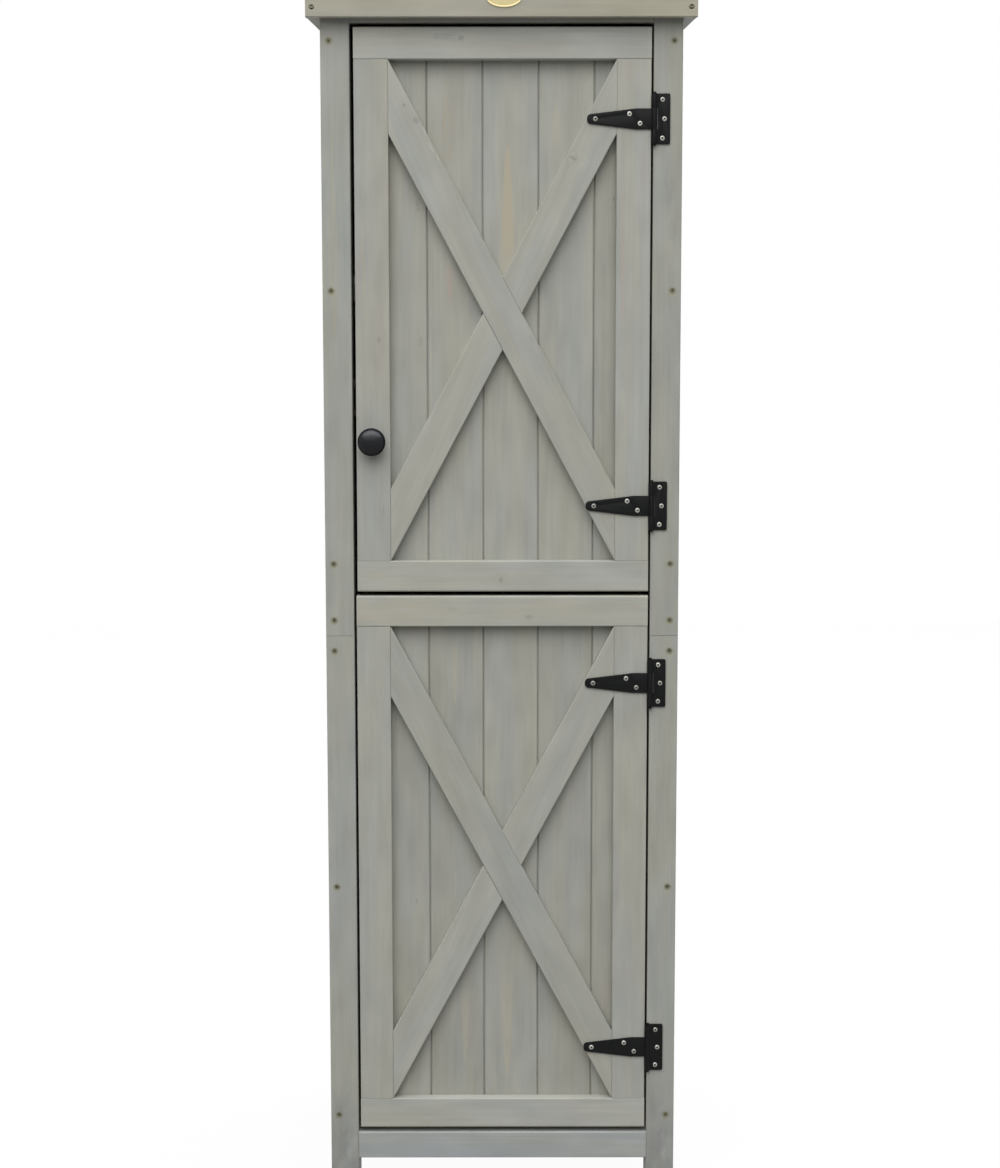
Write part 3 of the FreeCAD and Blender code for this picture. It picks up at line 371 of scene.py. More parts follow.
def brace_turn(node, sign):
    """The turn that brings a brace's grain upright, from the corners of its box."""
    low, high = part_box(node)
    return (0.0, sign * math.atan2(high.x - low.x, high.z - low.z), 0.0)


def stained(name, stain, turn, patterns, rule=None, seed=0.0, marks=()):
    """A stained timber material. The rule tells a node's pieces apart: axis, start and pitch in mm."""
    material, tree, shader, place = new_material(name)
    grain = add(tree, "ShaderNodeMapping", {"Vector": place, "Rotation": turn}).outputs[0]
    piece = seed
    if rule:
        axis, first, pitch = rule
        spot = add(tree, SPLIT, {0: place}).outputs[axis]
        steps = add(tree, MATH, {0: spot, 1: first * MM}, operation="SUBTRACT").outputs[0]
        steps = add(tree, MATH, {0: steps, 1: pitch * MM}, operation="DIVIDE").outputs[0]
        steps = add(tree, MATH, {0: steps}, operation="FLOOR").outputs[0]
        piece = add(tree, MATH, {0: steps, 1: seed}, operation="ADD").outputs[0]
    around = Euler(turn).to_matrix()
    overlays = []
    for kind, x, z, half_width, half_length, tone, strength in marks:
        centre = around @ Vector((x * MM, 0, z * MM))
        wide, long = half_width * MM, half_length * MM
        if kind in ("flame", "wedge"):
            rings = FLAME_RINGS if kind == "flame" else 0.0
            mark = add(tree, "ShaderNodeGroup", {"Grain": grain, "Tip": centre, "Half width": wide,
                                                 "Length": long, "Rings": rings},
                       node_tree=patterns["flame"])
        else:
            bend = wide if kind == "knot" else 0.0
            mark = add(tree, "ShaderNodeGroup", {"Grain": grain, "Centre": centre, "Half width": wide,
                                                 "Half length": long, "Bend": bend},
                       node_tree=patterns["knot"])
        if kind == "knot":
            grain = mark.outputs["Grain"]
        overlays.append((mark.outputs["Mask"], tone, strength))
    fir = add(tree, "ShaderNodeGroup", {"Grain": grain, "Piece": piece, "Stain": (*stain, 1)},
              node_tree=patterns["fir"])
    seen = fir.outputs["Colour"]
    for mask, tone, strength in overlays:
        amount = add(tree, MATH, {0: mask, 1: strength}, operation="MULTIPLY").outputs[0]
        seen = add(tree, BLEND, {0: amount, 6: seen, 7: opaque(tone)}, data_type="RGBA").outputs[2]
    bump = add(tree, BUMP, {"Height": fir.outputs["Height"], "Strength": 0.35, "Distance": 0.4 * MM})
    fill(tree, shader, {"Base Color": seen, "Roughness": fir.outputs["Roughness"],
                        "Normal": bump.outputs["Normal"], "Specular IOR Level": 0.16})
    return material


DARK = "6c6c66"
COOL = "7c7e80"
SAND = "a79f8c"
PALE = "b8b09c"
CREAM = "b4ad97"
CHIP = "c6c4b6"
ROSE = "b3a096"

# Marks in the wood, and painted shade at the lower front posts' feet: kind, place across and up, half width
# and half length in mm, tone and strength
UPPER_BRACE_MARKS = [
    ("knot", -124.0, 1435.8, 2.4, 2.8, COOL, 0.8),
    ("smear", -109.0, 1417.1, 4.5, 6.0, COOL, 0.6),
    ("smear", -98.7, 1405.9, 1.4, 7.0, CHIP, 0.8),
    ("smear", -89.9, 1383.4, 1.3, 9.0, CHIP, 0.7),
    ("smear", -81.1, 1369.7, 1.3, 5.0, CHIP, 0.6),
    ("smear", 37.4, 1141.7, 3.0, 9.0, DARK, 0.25),
]
UPPER_HALF_MARKS = [
    ("knot", 90.8, 1369.5, 6.5, 2.6, COOL, 0.75),
    ("smear", 98.5, 1364.0, 5.0, 1.3, CHIP, 0.6),
]
UPPER_TOP_MARKS = [
    ("knot", -51.3, 1518.8, 4.0, 5.0, COOL, 0.75),
    ("smear", -72.0, 1520.5, 6.0, 20.0, COOL, 0.4),
]
UPPER_LATCH_MARKS = [
    ("knot", -157.8, 1140.6, 3.5, 5.0, COOL, 0.5),
    ("smear", -153.2, 919.9, 1.0, 9.0, DARK, 0.5),
    ("smear", -184.9, 1222.5, 1.8, 44.0, ROSE, 0.8),
]
UPPER_HINGE_MARKS = [
    ("smear", 155.6, 1240.0, 3.2, 115.0, ROSE, 0.5),
    ("smear", 180.0, 1354.0, 5.0, 34.0, ROSE, 0.35),
]
UPPER_BOTTOM_MARKS = [
    ("knot", -1.4, 829.0, 4.5, 3.5, DARK, 0.5),
    ("flame", -150.0, 834.8, 4.0, -26.0, PALE, 0.7),
]
LOWER_TOP_MARKS = [
    ("smear", -130.0, 787.0, 24.0, 110.0, CREAM, 0.6),
    ("smear", 60.0, 787.0, 20.0, 90.0, CREAM, 0.4),
    ("knot", 35.2, 780.4, 4.0, 6.0, COOL, 0.5),
    ("smear", -64.0, 790.5, 3.0, 9.0, DARK, 0.2),
    ("smear", 171.6, 793.2, 3.0, 8.0, ROSE, 0.6),
]
LOWER_LATCH_MARKS = [("knot", -161.3, 695.0, 5.0, 8.0, PALE, 0.6)]
UPPER_BOARD_MARKS = [
    ("smear", -107.5, 1313.3, 3.0, 12.0, DARK, 0.3),
    ("smear", 143.9, 1319.4, 2.0, 4.0, DARK, 0.55),
    ("wedge", 7.6, 1391.0, 10.0, -190.0, "b3ab98", 0.9),
    ("flame", -67.0, 1183.6, 5.0, 60.0, ROSE, 0.7),
    ("flame", 69.2, 1442.0, 6.0, -60.0, PALE, 0.5),
    ("smear", -72.0, 1435.0, 2.5, 45.0, PALE, 0.5),
    ("smear", -104.5, 1138.7, 3.0, 8.0, DARK, 0.25),
    ("smear", -69.0, 1415.0, 11.0, 75.0, SAND, 0.65),
]
LOWER_BOARD_MARKS = [
    ("flame", 6.3, 153.8, 9.0, 160.0, PALE, 0.6),
    ("flame", -50.3, 174.8, 6.0, 110.0, PALE, 0.5),
    ("flame", -62.2, 661.8, 5.0, 95.0, PALE, 0.6),
    ("smear", -114.0, 397.0, 2.0, 5.0, DARK, 0.4),
]
POST_MARKS_AND_FOOT_SHADE = {
    "front_post_right_upper": [("smear", 213.0, 1342.0, 9.0, 42.0, COOL, 0.3),
                               ("smear", 217.7, 1278.0, 7.0, 17.0, COOL, 0.25)],
    # Painted shade: a cool grey smear darkens each lower front post towards its foot
    "front_post_left_lower": [("smear", -211.0, 0.0, 60.0, 175.0, COOL, 0.6)],
    "front_post_right_lower": [("smear", 211.0, 0.0, 60.0, 175.0, COOL, 0.6)],
}
# Two rings round each frame screw, the outer one first: half width, half length, tone and strength
HALO = ((7.0, 8.0, "a09e85", 0.8), (6.0, 5.4, "6f6c55", 0.65))

# Where the first board of each row starts, and what a board covers, in mm
BOARD_START = {"side": -176.64, "back": -286.4, "door": -238.8, "floor": -178.14, "deck": -208.8}
COVER = 71.6


def screw_halos(post):
    """The yellowish ring that drilling and staining left round each frame screw of a post."""
    low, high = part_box(post)
    rings = []
    for head, out in screw_places("frame_screws"):
        if low.x < head.x < high.x and low.z < head.z < high.z and out.y * (low.y + high.y) > 0:
            rings += [("smear", head.x / MM, head.z / MM, *ring) for ring in HALO]
    return rings


def timber_plan(timber):
    """For each node: its stain, grain turn, rule that tells its pieces apart, seed and marks."""
    stain = timber.post_stain
    plan = {}
    seed = 10.0
    for face in ("front", "rear"):
        for hand in ("left", "right"):
            for storey in ("lower", "upper"):
                seed += 7
                post = f"{face}_post_{hand}_{storey}"
                plan[post] = (stain, UP, None, seed, screw_halos(post) + POST_MARKS_AND_FOOT_SHADE.get(post, []))
    side = (1, BOARD_START["side"], COVER)
    for hand in ("left", "right"):
        seed += 40
        plan[f"side_rails_{hand}_lower"] = (stain, DEEP, (2, 0, 300), seed, ())
        plan[f"side_rails_{hand}_upper"] = (stain, DEEP, (2, 752, 61), seed + 20, ())
        plan[f"side_boards_{hand}_lower"] = (timber.board_stain, UP, side, seed + 3, ())
        plan[f"side_boards_{hand}_upper"] = (timber.board_stain, UP, side, seed + 11, ())
    plan["back_rails"] = (stain, ACROSS, (2, 0, 60), 300, ())
    plan["back_boards"] = (timber.board_stain, UP, (0, BOARD_START["back"], COVER), 320, ())
    floor = (1, BOARD_START["floor"], COVER)
    for index, shelf in enumerate(("floor_bottom", "shelf_lower", "floor_middle", "shelf_upper")):
        plan[shelf] = (timber.inner_stain, ACROSS, floor, 340 + 9 * index, ())
    plan["shelf_battens"] = (timber.inner_stain, DEEP, (2, 0, 150), 380, ())
    plan["roof_deck_boards"] = (timber.inner_stain, ACROSS, (1, BOARD_START["deck"], COVER), 400, ())
    plan["front_top_rail"] = (stain, ACROSS, None, 411, ())
    plan["front_plinth_rail"] = (timber.plinth_stain, ACROSS, None, 412, ())
    plan["roof_fascia"] = (timber.fascia_stain, ACROSS, None, 413, ())
    plan["roof_back_board"] = (stain, ACROSS, None, 414, ())
    plan["roof_bargeboard_left"] = (stain, DEEP, None, 415, ())
    plan["roof_bargeboard_right"] = (stain, DEEP, None, 416, ())
    doors = {"upper_door": (500, UPPER_LATCH_MARKS, UPPER_HINGE_MARKS, UPPER_TOP_MARKS, UPPER_BOTTOM_MARKS,
                            UPPER_BRACE_MARKS, UPPER_HALF_MARKS, UPPER_BOARD_MARKS),
             "lower_door": (600, LOWER_LATCH_MARKS, (), LOWER_TOP_MARKS, (), (), (), LOWER_BOARD_MARKS)}
    for door, (first, latch, hung, top, bottom, brace, halves, panel) in doors.items():
        full, half = door + "_brace_full", door + "_brace_halves"
        plan[door + "_stile_latch"] = (timber.door_stain, UP, None, first + 1, latch)
        plan[door + "_stile_hinge"] = (timber.door_stain, UP, None, first + 2, hung)
        plan[door + "_rail_top"] = (timber.rail_stain, ACROSS, None, first + 3, top)
        plan[door + "_rail_bottom"] = (timber.rail_stain, ACROSS, None, first + 4, bottom)
        plan[full] = (timber.door_stain, brace_turn(full, 1), None, first + 5, brace)
        plan[half] = (timber.door_stain, brace_turn(full, -1), (0, -300, 300), first + 6, halves)
        plan[door + "_boards"] = (timber.board_stain, UP, (0, BOARD_START["door"], COVER), first + 20, panel)
    return plan


class CABINET_OT_stain_timber(bpy.types.Operator):
    """Stain every timber node, with its grain along the piece"""
    bl_idname = "cabinet.stain_timber"
    bl_label = "Stain the timber"

    def execute(self, context):
        timber = context.scene.cabinet_timber
        patterns = {"fir": stained_fir(timber), "knot": grain_knot(), "flame": grain_flame()}
        for node, (stain, turn, rule, seed, marks) in timber_plan(timber).items():
            name = "Stained fir, " + node.replace("_", " ")
            NODES[node].data.materials[0] = stained(name, stain, turn, patterns, rule, seed, marks)
        return {"FINISHED"}


# Shapes

# The closest that two corners of a mesh may be before they are one
WELD = 0.001 * MM
# How near to a screw's end a point lies that belongs to its end face
END_FACE = 0.2 * MM


def new_piece(name, mesh, body, material, slot, *replaced):
    """A finished piece at the origin that rides on a body. A grown mesh has its materials already."""
    piece = bpy.data.objects.new(name, mesh)
    bpy.context.scene.collection.objects.link(piece)
    if material:
        mesh.materials.clear()
        mesh.materials.append(material)
    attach(piece, body)
    if replaced:
        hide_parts(*replaced)
    return piece


def to_mesh(shape, name):
    """A named mesh from a bmesh, which is freed."""
    mesh = bpy.data.meshes.new(name)
    shape.to_mesh(mesh)
    shape.free()
    return mesh


def merged_copy(node):
    """A CAD node's solids as one joined mesh without loose triangles."""
    shape = bmesh.new()
    shape.from_mesh(NODES[node].data)
    bmesh.ops.remove_doubles(shape, verts=shape.verts, dist=WELD)
    return shape


def flat_faced_copy(node):
    """A joined copy of a CAD node with each flat face as one polygon."""
    shape = merged_copy(node)
    bmesh.ops.dissolve_limit(shape, angle_limit=math.radians(1), verts=shape.verts, edges=shape.edges)
    return shape


def smooth(shape, degrees):
    """Smooth shading, with edges sharper than the angle kept crisp."""
    for face in shape.faces:
        face.smooth = True
    for edge in shape.edges:
        edge.smooth = len(edge.link_faces) == 2 and edge.calc_face_angle(0) < math.radians(degrees)


def sharp_edges(shape, degrees):
    """The edges between two faces that meet at more than an angle."""
    return [edge for edge in shape.edges if edge.calc_face_angle(0) > math.radians(degrees)]


def ease(shape, edges, width, steps=2, clamp=False):
    """Round some edges. Where clamped, no rounding runs into the next one."""
    bmesh.ops.bevel(shape, geom=edges, offset=width, segments=steps, profile=0.5, affect="EDGES",
                    clamp_overlap=clamp)


def eased_copy(node, name, width):
    """A joined copy of a CAD node with its sharp edges rounded."""
    shape = flat_faced_copy(node)
    ease(shape, sharp_edges(shape, 30), width, clamp=True)
    smooth(shape, 38)
    return to_mesh(shape, name)


def separate_solids(node):
    """The points of each solid in a CAD node, in the mesh's own order, so that each run is the same."""
    shape = merged_copy(node)
    found = set()
    solids = []
    for first in shape.verts:
        if first in found:
            continue
        found.add(first)
        wave = [first]
        points = []
        while wave:
            vertex = wave.pop()
            points.append(vertex.co.copy())
            for edge in vertex.link_edges:
                other = edge.other_vert(vertex)
                if other not in found:
                    found.add(other)
                    wave.append(other)
        solids.append(points)
    shape.free()
    return solids


def middle(points):
    """The mean of some points."""
    return sum(points, Vector()) / len(points)


def screw_places(node):
    """The middle of each screw's outer face, and the way that it looks."""
    places = []
    for points in separate_solids(node):
        low = min(point.y for point in points)
        high = max(point.y for point in points)
        front_end = middle([point for point in points if point.y < low + END_FACE])
        back_end = middle([point for point in points if point.y > high - END_FACE])
        head, tip = (front_end, back_end) if low + high < 0 else (back_end, front_end)
        places.append((head, (head - tip).normalized()))
    return places


# Geometry Nodes

def set_out(tree, start, points, fixing, turn):
    """A fixing on each point, turned to the point's outward direction, as a real mesh with its finish."""
    row = add(tree, "GeometryNodeInstanceOnPoints", {"Points": points, "Instance": fixing, "Rotation": turn})
    real = add(tree, "GeometryNodeRealizeInstances", {"Geometry": row.outputs[0]}).outputs[0]
    return add(tree, FINISH, {"Geometry": real, "Material": start["Finish"]}).outputs[0]


def outward_turn(tree):
    """The turn that brings Z to the outward direction that each point carries."""
    out = add(tree, ATTRIBUTE, {"Name": "out"}, data_type="FLOAT_VECTOR").outputs[0]
    return add(tree, "FunctionNodeAlignRotationToVector", {"Vector": out}, axis="Z").outputs[0]


def screw_tree(name, sunk):
    """Screws on the points of a carrier mesh, each turned at random about its own axis."""
    sizes = {"Head radius": "Float", "Head height": "Float", "Shank radius": "Float",
             "Shank length": "Float", "Recess length": "Float", "Recess width": "Float",
             "Recess depth": "Float", "Seed": "Int", "Finish": "Material", "Recess material": "Material"}
    tree, start, end = new_tree(name, "GeometryNodeTree", {"Carrier": "Geometry", **sizes},
                                {"Screws": "Geometry"})
    if sunk:
        cone = add(tree, "GeometryNodeMeshCone", {"Vertices": 32, "Radius Top": start["Head radius"],
                                                  "Radius Bottom": start["Shank radius"],
                                                  "Depth": start["Head height"]})
        down = add(tree, MATH, {0: start["Head height"], 1: -1.0}, operation="MULTIPLY").outputs[0]
        drop = add(tree, JOIN, {"Z": down}).outputs[0]
        head = add(tree, TRANSFORM, {"Geometry": cone.outputs["Mesh"], "Translation": drop}).outputs[0]
        crown = 0.0
    else:
        ball = add(tree, "GeometryNodeMeshUVSphere", {"Segments": 32, "Rings": 16, "Radius": 1.0})
        tall = add(tree, MATH, {0: start["Head height"], 1: 1.25}, operation="MULTIPLY").outputs[0]
        scale = add(tree, JOIN, {"X": start["Head radius"], "Y": start["Head radius"], "Z": tall}).outputs[0]
        oval = add(tree, TRANSFORM, {"Geometry": ball.outputs["Mesh"], "Scale": scale}).outputs[0]
        spot = add(tree, "GeometryNodeInputPosition").outputs[0]
        parts = add(tree, SPLIT, {0: spot}).outputs
        level = add(tree, "ShaderNodeClamp", {"Value": parts["Z"], "Min": 0.0,
                                              "Max": start["Head height"]}).outputs[0]
        flat = add(tree, JOIN, {"X": parts["X"], "Y": parts["Y"], "Z": level}).outputs[0]
        head = add(tree, "GeometryNodeSetPosition", {"Geometry": oval, "Position": flat}).outputs[0]
        crown = start["Head height"]
    deep = add(tree, MATH, {0: start["Recess depth"], 1: 2.0}, operation="MULTIPLY").outputs[0]
    lift = add(tree, JOIN, {"Z": crown}).outputs[0]
    pit = add(tree, "GeometryNodeMeshCylinder", {"Vertices": 16, "Radius": start["Recess width"],
                                                 "Depth": deep}).outputs["Mesh"]
    cutters = [pit]
    for wide, tall in (("Recess length", "Recess width"), ("Recess width", "Recess length")):
        block = add(tree, JOIN, {"X": start[wide], "Y": start[tall], "Z": deep}).outputs[0]
        cutters.append(add(tree, "GeometryNodeMeshCube", {"Size": block}).outputs["Mesh"])
    cross = add(tree, "GeometryNodeMeshBoolean", operation="DIFFERENCE", solver="EXACT")
    tree.links.new(head, cross.inputs["Mesh 1"])
    for cutter in cutters:
        raised = add(tree, TRANSFORM, {"Geometry": cutter, "Translation": lift}).outputs[0]
        tagged = add(tree, "GeometryNodeStoreNamedAttribute", {"Geometry": raised, "Name": "recess"},
                     data_type="BOOLEAN", domain="FACE")
        tagged.inputs["Value"].default_value = True
        tree.links.new(tagged.outputs[0], cross.inputs["Mesh 2"])
    shank = add(tree, "GeometryNodeMeshCylinder", {"Vertices": 16, "Radius": start["Shank radius"],
                                                   "Depth": start["Shank length"]}).outputs["Mesh"]
    half = add(tree, MATH, {0: start["Shank length"], 1: -0.5}, operation="MULTIPLY").outputs[0]
    if sunk:
        half = add(tree, MATH, {0: half, 1: start["Head height"]}, operation="SUBTRACT").outputs[0]
    lower = add(tree, JOIN, {"Z": half}).outputs[0]
    shank = add(tree, TRANSFORM, {"Geometry": shank, "Translation": lower}).outputs[0]
    screw = add(tree, "GeometryNodeJoinGeometry")
    tree.links.new(shank, screw.inputs[0])
    tree.links.new(cross.outputs["Mesh"], screw.inputs[0])
    spin = add(tree, "FunctionNodeRandomValue", {"Max": (0, 0, math.pi), "Seed": start["Seed"]},
               data_type="FLOAT_VECTOR").outputs[0]
    own = add(tree, "FunctionNodeEulerToRotation", {0: spin}).outputs[0]
    turn = add(tree, "FunctionNodeRotateRotation", {0: outward_turn(tree), 1: own},
               rotation_space="LOCAL").outputs[0]
    done = set_out(tree, start, start["Carrier"], screw.outputs[0], turn)
    # The recess faces take the recess material, which for the hinge and frame screws is painted shade
    inside = add(tree, ATTRIBUTE, {"Name": "recess"}, data_type="BOOLEAN").outputs[0]
    done = add(tree, FINISH, {"Geometry": done, "Selection": inside,
                              "Material": start["Recess material"]}).outputs[0]
    fill(tree, end, {0: done})
    return tree


def grown(name, tree, places, values, edges=()):
    """The mesh that a tree makes from points, each with its outward direction and its shade."""
    carrier = bpy.data.meshes.new(name)
    carrier.from_pydata([place for place, out, shade in places], edges, [])
    outward = carrier.attributes.new("out", "FLOAT_VECTOR", "POINT")
    outward.data.foreach_set("vector", [value for place, out, shade in places for value in out])
    shades = carrier.attributes.new("shade", "FLOAT", "POINT")
    shades.data.foreach_set("value", [shade for place, out, shade in places])
    piece = bpy.data.objects.new(name, carrier)
    bpy.context.scene.collection.objects.link(piece)
    modifier = piece.modifiers.new(name, "NODES")
    modifier.node_group = tree
    for label, value in values.items():
        modifier[tree.interface.items_tree[label].identifier] = value
    graph = bpy.context.evaluated_depsgraph_get()
    mesh = bpy.data.meshes.new_from_object(piece.evaluated_get(graph))
    piece.modifiers.remove(modifier)
    bpy.data.objects.remove(piece)
    bpy.data.meshes.remove(carrier)
    shape = bmesh.new()
    shape.from_mesh(mesh)
    smooth(shape, 35)
    shape.to_mesh(mesh)
    shape.free()
    return mesh


# Finishes

def metal(name, tone, roughness, grit=0.0, grit_size=0.3, metallic=1.0, shaded=False, gloss=0.5):
    """A metal or coated metal with a faint uneven surface, its grit's size in mm.

    Where shaded, each grown piece has its own shade.
    """
    material, tree, shader, place = new_material(name)
    noise = add(tree, NOISE, {"Vector": place, "Scale": 1 / (grit_size * MM), "Detail": 2.0}).outputs["Fac"]
    rough = add(tree, RANGE, {"Value": noise, "From Min": 0.3, "From Max": 0.7,
                              "To Min": roughness - 0.07, "To Max": roughness + 0.07})
    worn = add(tree, RANGE, {"Value": noise, "From Min": 0.3, "From Max": 0.7, "To Min": 0.9, "To Max": 1.1})
    seen = add(tree, VECTOR, {0: (*tone,), "Scale": worn.outputs[0]}, operation="SCALE").outputs[0]
    if shaded:
        shade = add(tree, "ShaderNodeAttribute", attribute_name="shade").outputs["Fac"]
        seen = add(tree, VECTOR, {0: seen, "Scale": shade}, operation="SCALE").outputs[0]
    bump = add(tree, BUMP, {"Height": noise, "Strength": grit, "Distance": 0.05 * MM})
    fill(tree, shader, {"Base Color": seen, "Roughness": rough.outputs[0], "Metallic": metallic,
                        "Normal": bump.outputs["Normal"], "Specular IOR Level": gloss})
    return material


# Screws

# How bright the screw heads are against their metal, from and to
PAN_SHADES = (0.6, 1.05)
SUNK_SHADES = (0.85, 1.1)
# The fascia's screws are brighter by this
FASCIA_SHADE = 1.15


class CABINET_OT_fit_screws(bpy.types.Operator):
    """Fit the pan head hinge screws and the countersunk frame screws"""
    bl_idname = "cabinet.fit_screws"
    bl_label = "Fit the screws"

    def execute(self, context):
        fixing = context.scene.cabinet_fixing
        # Zinc plated steel: a pale satin grey, each head a little brighter or duller
        zinc = metal("Zinc plated steel", linear("b3b2ab"), 0.34, 0.1, shaded=True)
        # Steel heads under the brushed stain: a dull olive grey that hardly shines
        dull = metal("Stained countersunk steel", linear("7f7d67"), 0.7, 0.4, 1.6, 0.0, shaded=True)
        # Stain that ran into the recess, darkened further as painted shade: a matt dark olive cross
        stain_and_recess_shade = metal("Stain and painted shade in the countersunk recess", linear("504d3b"), 0.8, 0.3, 0.3, 0.0, shaded=True)
        # Painted shade in the hinge screws' recess: a matt near black cross
        painted_recess_shade = metal("Painted shade in the pan head recess", linear("2f2e2a"), 0.7, 0.2, metallic=0.0)
        chance = random.Random(fixing.seed)
        pan = screw_tree("Pan head screws", sunk=False)
        recess = {"Recess length": fixing.recess_length, "Recess width": fixing.recess_width,
                  "Recess depth": fixing.recess_depth, "Seed": fixing.seed}
        for node, body in (("hinge_plate_screws", "cabinet"), ("upper_door_strap_screws", "upper_door"),
                           ("lower_door_strap_screws", "lower_door")):
            places = [(head - out * fixing.pan_height, out, chance.uniform(*PAN_SHADES))
                      for head, out in screw_places(node)]
            mesh = grown(node + "_fitted", pan, places,
                         {"Head radius": fixing.pan_radius, "Head height": fixing.pan_height,
                          "Shank radius": fixing.pan_shank, "Shank length": fixing.pan_length,
                          "Finish": zinc, "Recess material": painted_recess_shade, **recess})
            new_piece(node + "_fitted", mesh, body, None, "zinc_screw", node)
        sunk = screw_tree("Countersunk screws", sunk=True)
        fascia_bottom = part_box("roof_fascia")[0].z
        places = [(head, out,
                   chance.uniform(*SUNK_SHADES) * (FASCIA_SHADE if head.z > fascia_bottom else 1.0))
                  for head, out in screw_places("frame_screws")]
        mesh = grown("frame_screws_fitted", sunk, places,
                     {"Head radius": fixing.sunk_radius, "Head height": fixing.sunk_height,
                      "Shank radius": fixing.sunk_shank,
                      "Shank length": fixing.sunk_length - fixing.sunk_height, "Finish": dull,
                      "Recess material": stain_and_recess_shade, **recess})
        new_piece("frame_screws_fitted", mesh, "cabinet", None, "dark_screw", "frame_screws")
        return {"FINISHED"}


# Hinges

# The painted highlight line beside each strap's knuckle on the hinge plate, in mm, and how strong it is from
# the lowest hinge up
GLINT_LINE_X = 197.8
GLINT_LINE_HALF_WIDTH = 0.45
GLINT_LINE_HALF_LENGTH = 13.5
GLINT_LINE_STRENGTH = (0.1, 0.5, 0.3, 0.8)


class CABINET_OT_fit_hinges(bpy.types.Operator):
    """Ease the edges of the hinges and powder coat them"""
    bl_idname = "cabinet.fit_hinges"
    bl_label = "Fit the hinges"

    def execute(self, context):
        hinge = context.scene.cabinet_hinge
        # Powder coated pressed steel: near black with a soft dull sheen and a faint orange peel
        powder = metal("Black powder coat", hinge.powder, 0.45, 0.35, 0.9, metallic=0.0, gloss=0.14)
        # Paints a highlight line onto the powder coat beside each knuckle
        self.paint_glint_line(powder.node_tree)
        for node, body in (("hinge_plates", "cabinet"), ("hinge_pins", "cabinet"),
                           ("upper_door_hinge_straps", "upper_door"),
                           ("lower_door_hinge_straps", "lower_door")):
            mesh = eased_copy(node, node + "_eased", hinge.edge)
            new_piece(node + "_eased", mesh, body, powder, "black_iron", node)
        return {"FINISHED"}

    def paint_glint_line(self, tree):
        """A painted highlight: a thin grey line on the plate beside each strap's knuckle, where the
        knuckle's edge catches the light.
        """
        place = tree.nodes.new("ShaderNodeTexCoord").outputs["Object"]
        spot = add(tree, SPLIT, {0: place}).outputs
        beside = add(tree, MATH, {0: spot["X"], 1: GLINT_LINE_X * MM, 2: GLINT_LINE_HALF_WIDTH * MM},
                     operation="COMPARE").outputs[0]
        amount = 0.0
        levels = sorted(middle(points).z for points in separate_solids("hinge_pins"))
        for level, strength in zip(levels, GLINT_LINE_STRENGTH):
            along = add(tree, MATH, {0: spot["Z"], 1: level, 2: GLINT_LINE_HALF_LENGTH * MM},
                        operation="COMPARE").outputs[0]
            amount = add(tree, MATH, {0: along, 1: strength, 2: amount}, operation="MULTIPLY_ADD").outputs[0]
        amount = add(tree, MATH, {0: amount, 1: beside}, operation="MULTIPLY").outputs[0]
        base = tree.nodes["Principled BSDF"].inputs["Base Color"]
        coat = base.links[0].from_socket
        # Painted highlight: a light grey mixed into the coat's colour along each line
        seen = add(tree, BLEND, {0: amount, 6: coat, 7: opaque("6f6f70")}, data_type="RGBA").outputs[2]
        tree.links.new(seen, base)


# Knob

class CABINET_OT_turn_knob(bpy.types.Operator):
    """Turn the knob from its profile and lacquer it"""
    bl_idname = "cabinet.turn_knob"
    bl_label = "Turn the knob"

    def execute(self, context):
        knob = context.scene.cabinet_knob
        low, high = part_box("door_knob")
        centre = (low + high) / 2
        face = high.y
        shape = bmesh.new()
        points = [shape.verts.new((centre.x + radius, face - height, centre.z))
                  for radius, height in self.profile(knob)]
        edges = [shape.edges.new(pair) for pair in zip(points, points[1:])]
        bmesh.ops.spin(shape, geom=points + edges, cent=(centre.x, face, centre.z), axis=(0, 1, 0),
                       angle=math.tau, steps=96)
        bmesh.ops.remove_doubles(shape, verts=shape.verts, dist=2 * WELD)
        bmesh.ops.recalc_face_normals(shape, faces=shape.faces)
        smooth(shape, 40)
        mesh = to_mesh(shape, "door_knob_turned")
        # Black lacquer on a turned knob: deep black with one broad soft highlight
        lacquer = metal("Black lacquered knob", knob.lacquer, 0.32, 0.1, 1.2, metallic=0.0, gloss=0.19)
        new_piece("door_knob_turned", mesh, "upper_door", lacquer, "black_knob", "door_knob")
        return {"FINISHED"}

    def profile(self, knob):
        """Radius and height of the knob's outline, from the stile to the top of its dome."""
        bead = 0.6 * MM
        seam = 0.3 * MM
        outline = [(0.0, 0.0), (knob.foot_radius - bead, 0.0), (knob.foot_radius, bead),
                   (knob.foot_radius, knob.foot_height - 0.8 * MM),
                   (knob.foot_radius - 0.7 * MM, knob.foot_height),
                   (knob.neck_radius + 0.5 * MM, knob.foot_height + bead),
                   (knob.neck_radius, knob.foot_height + 1.8 * MM)]
        back = knob.rim_height - 2 * MM
        start = knob.neck_height - 1 * MM
        flare = knob.radius - 0.5 * MM - knob.neck_radius
        for step in range(11):
            part = step / 10
            outline.append((knob.neck_radius + flare * part ** 1.7, start + (back - start) * part))
        outline.append((knob.radius, back + bead))
        for step in range(7):
            angle = math.pi * step / 6
            outline.append((knob.radius - bead + bead * math.cos(angle),
                            knob.rim_height + bead * math.sin(angle)))
        dome = knob.radius - 2 * bead
        rise = knob.reach - knob.rim_height + seam
        for step in range(13):
            angle = math.pi / 2 * step / 12
            outline.append((dome * math.cos(angle), knob.rim_height - seam + rise * math.sin(angle)))
        return outline


# Roof

# The plate in mm: how deep its field is sunk, the field's border, and the rounding of the edges
PLATE_SUNK = 0.5
PLATE_BORDER = 0.4
PLATE_EASE = 0.2


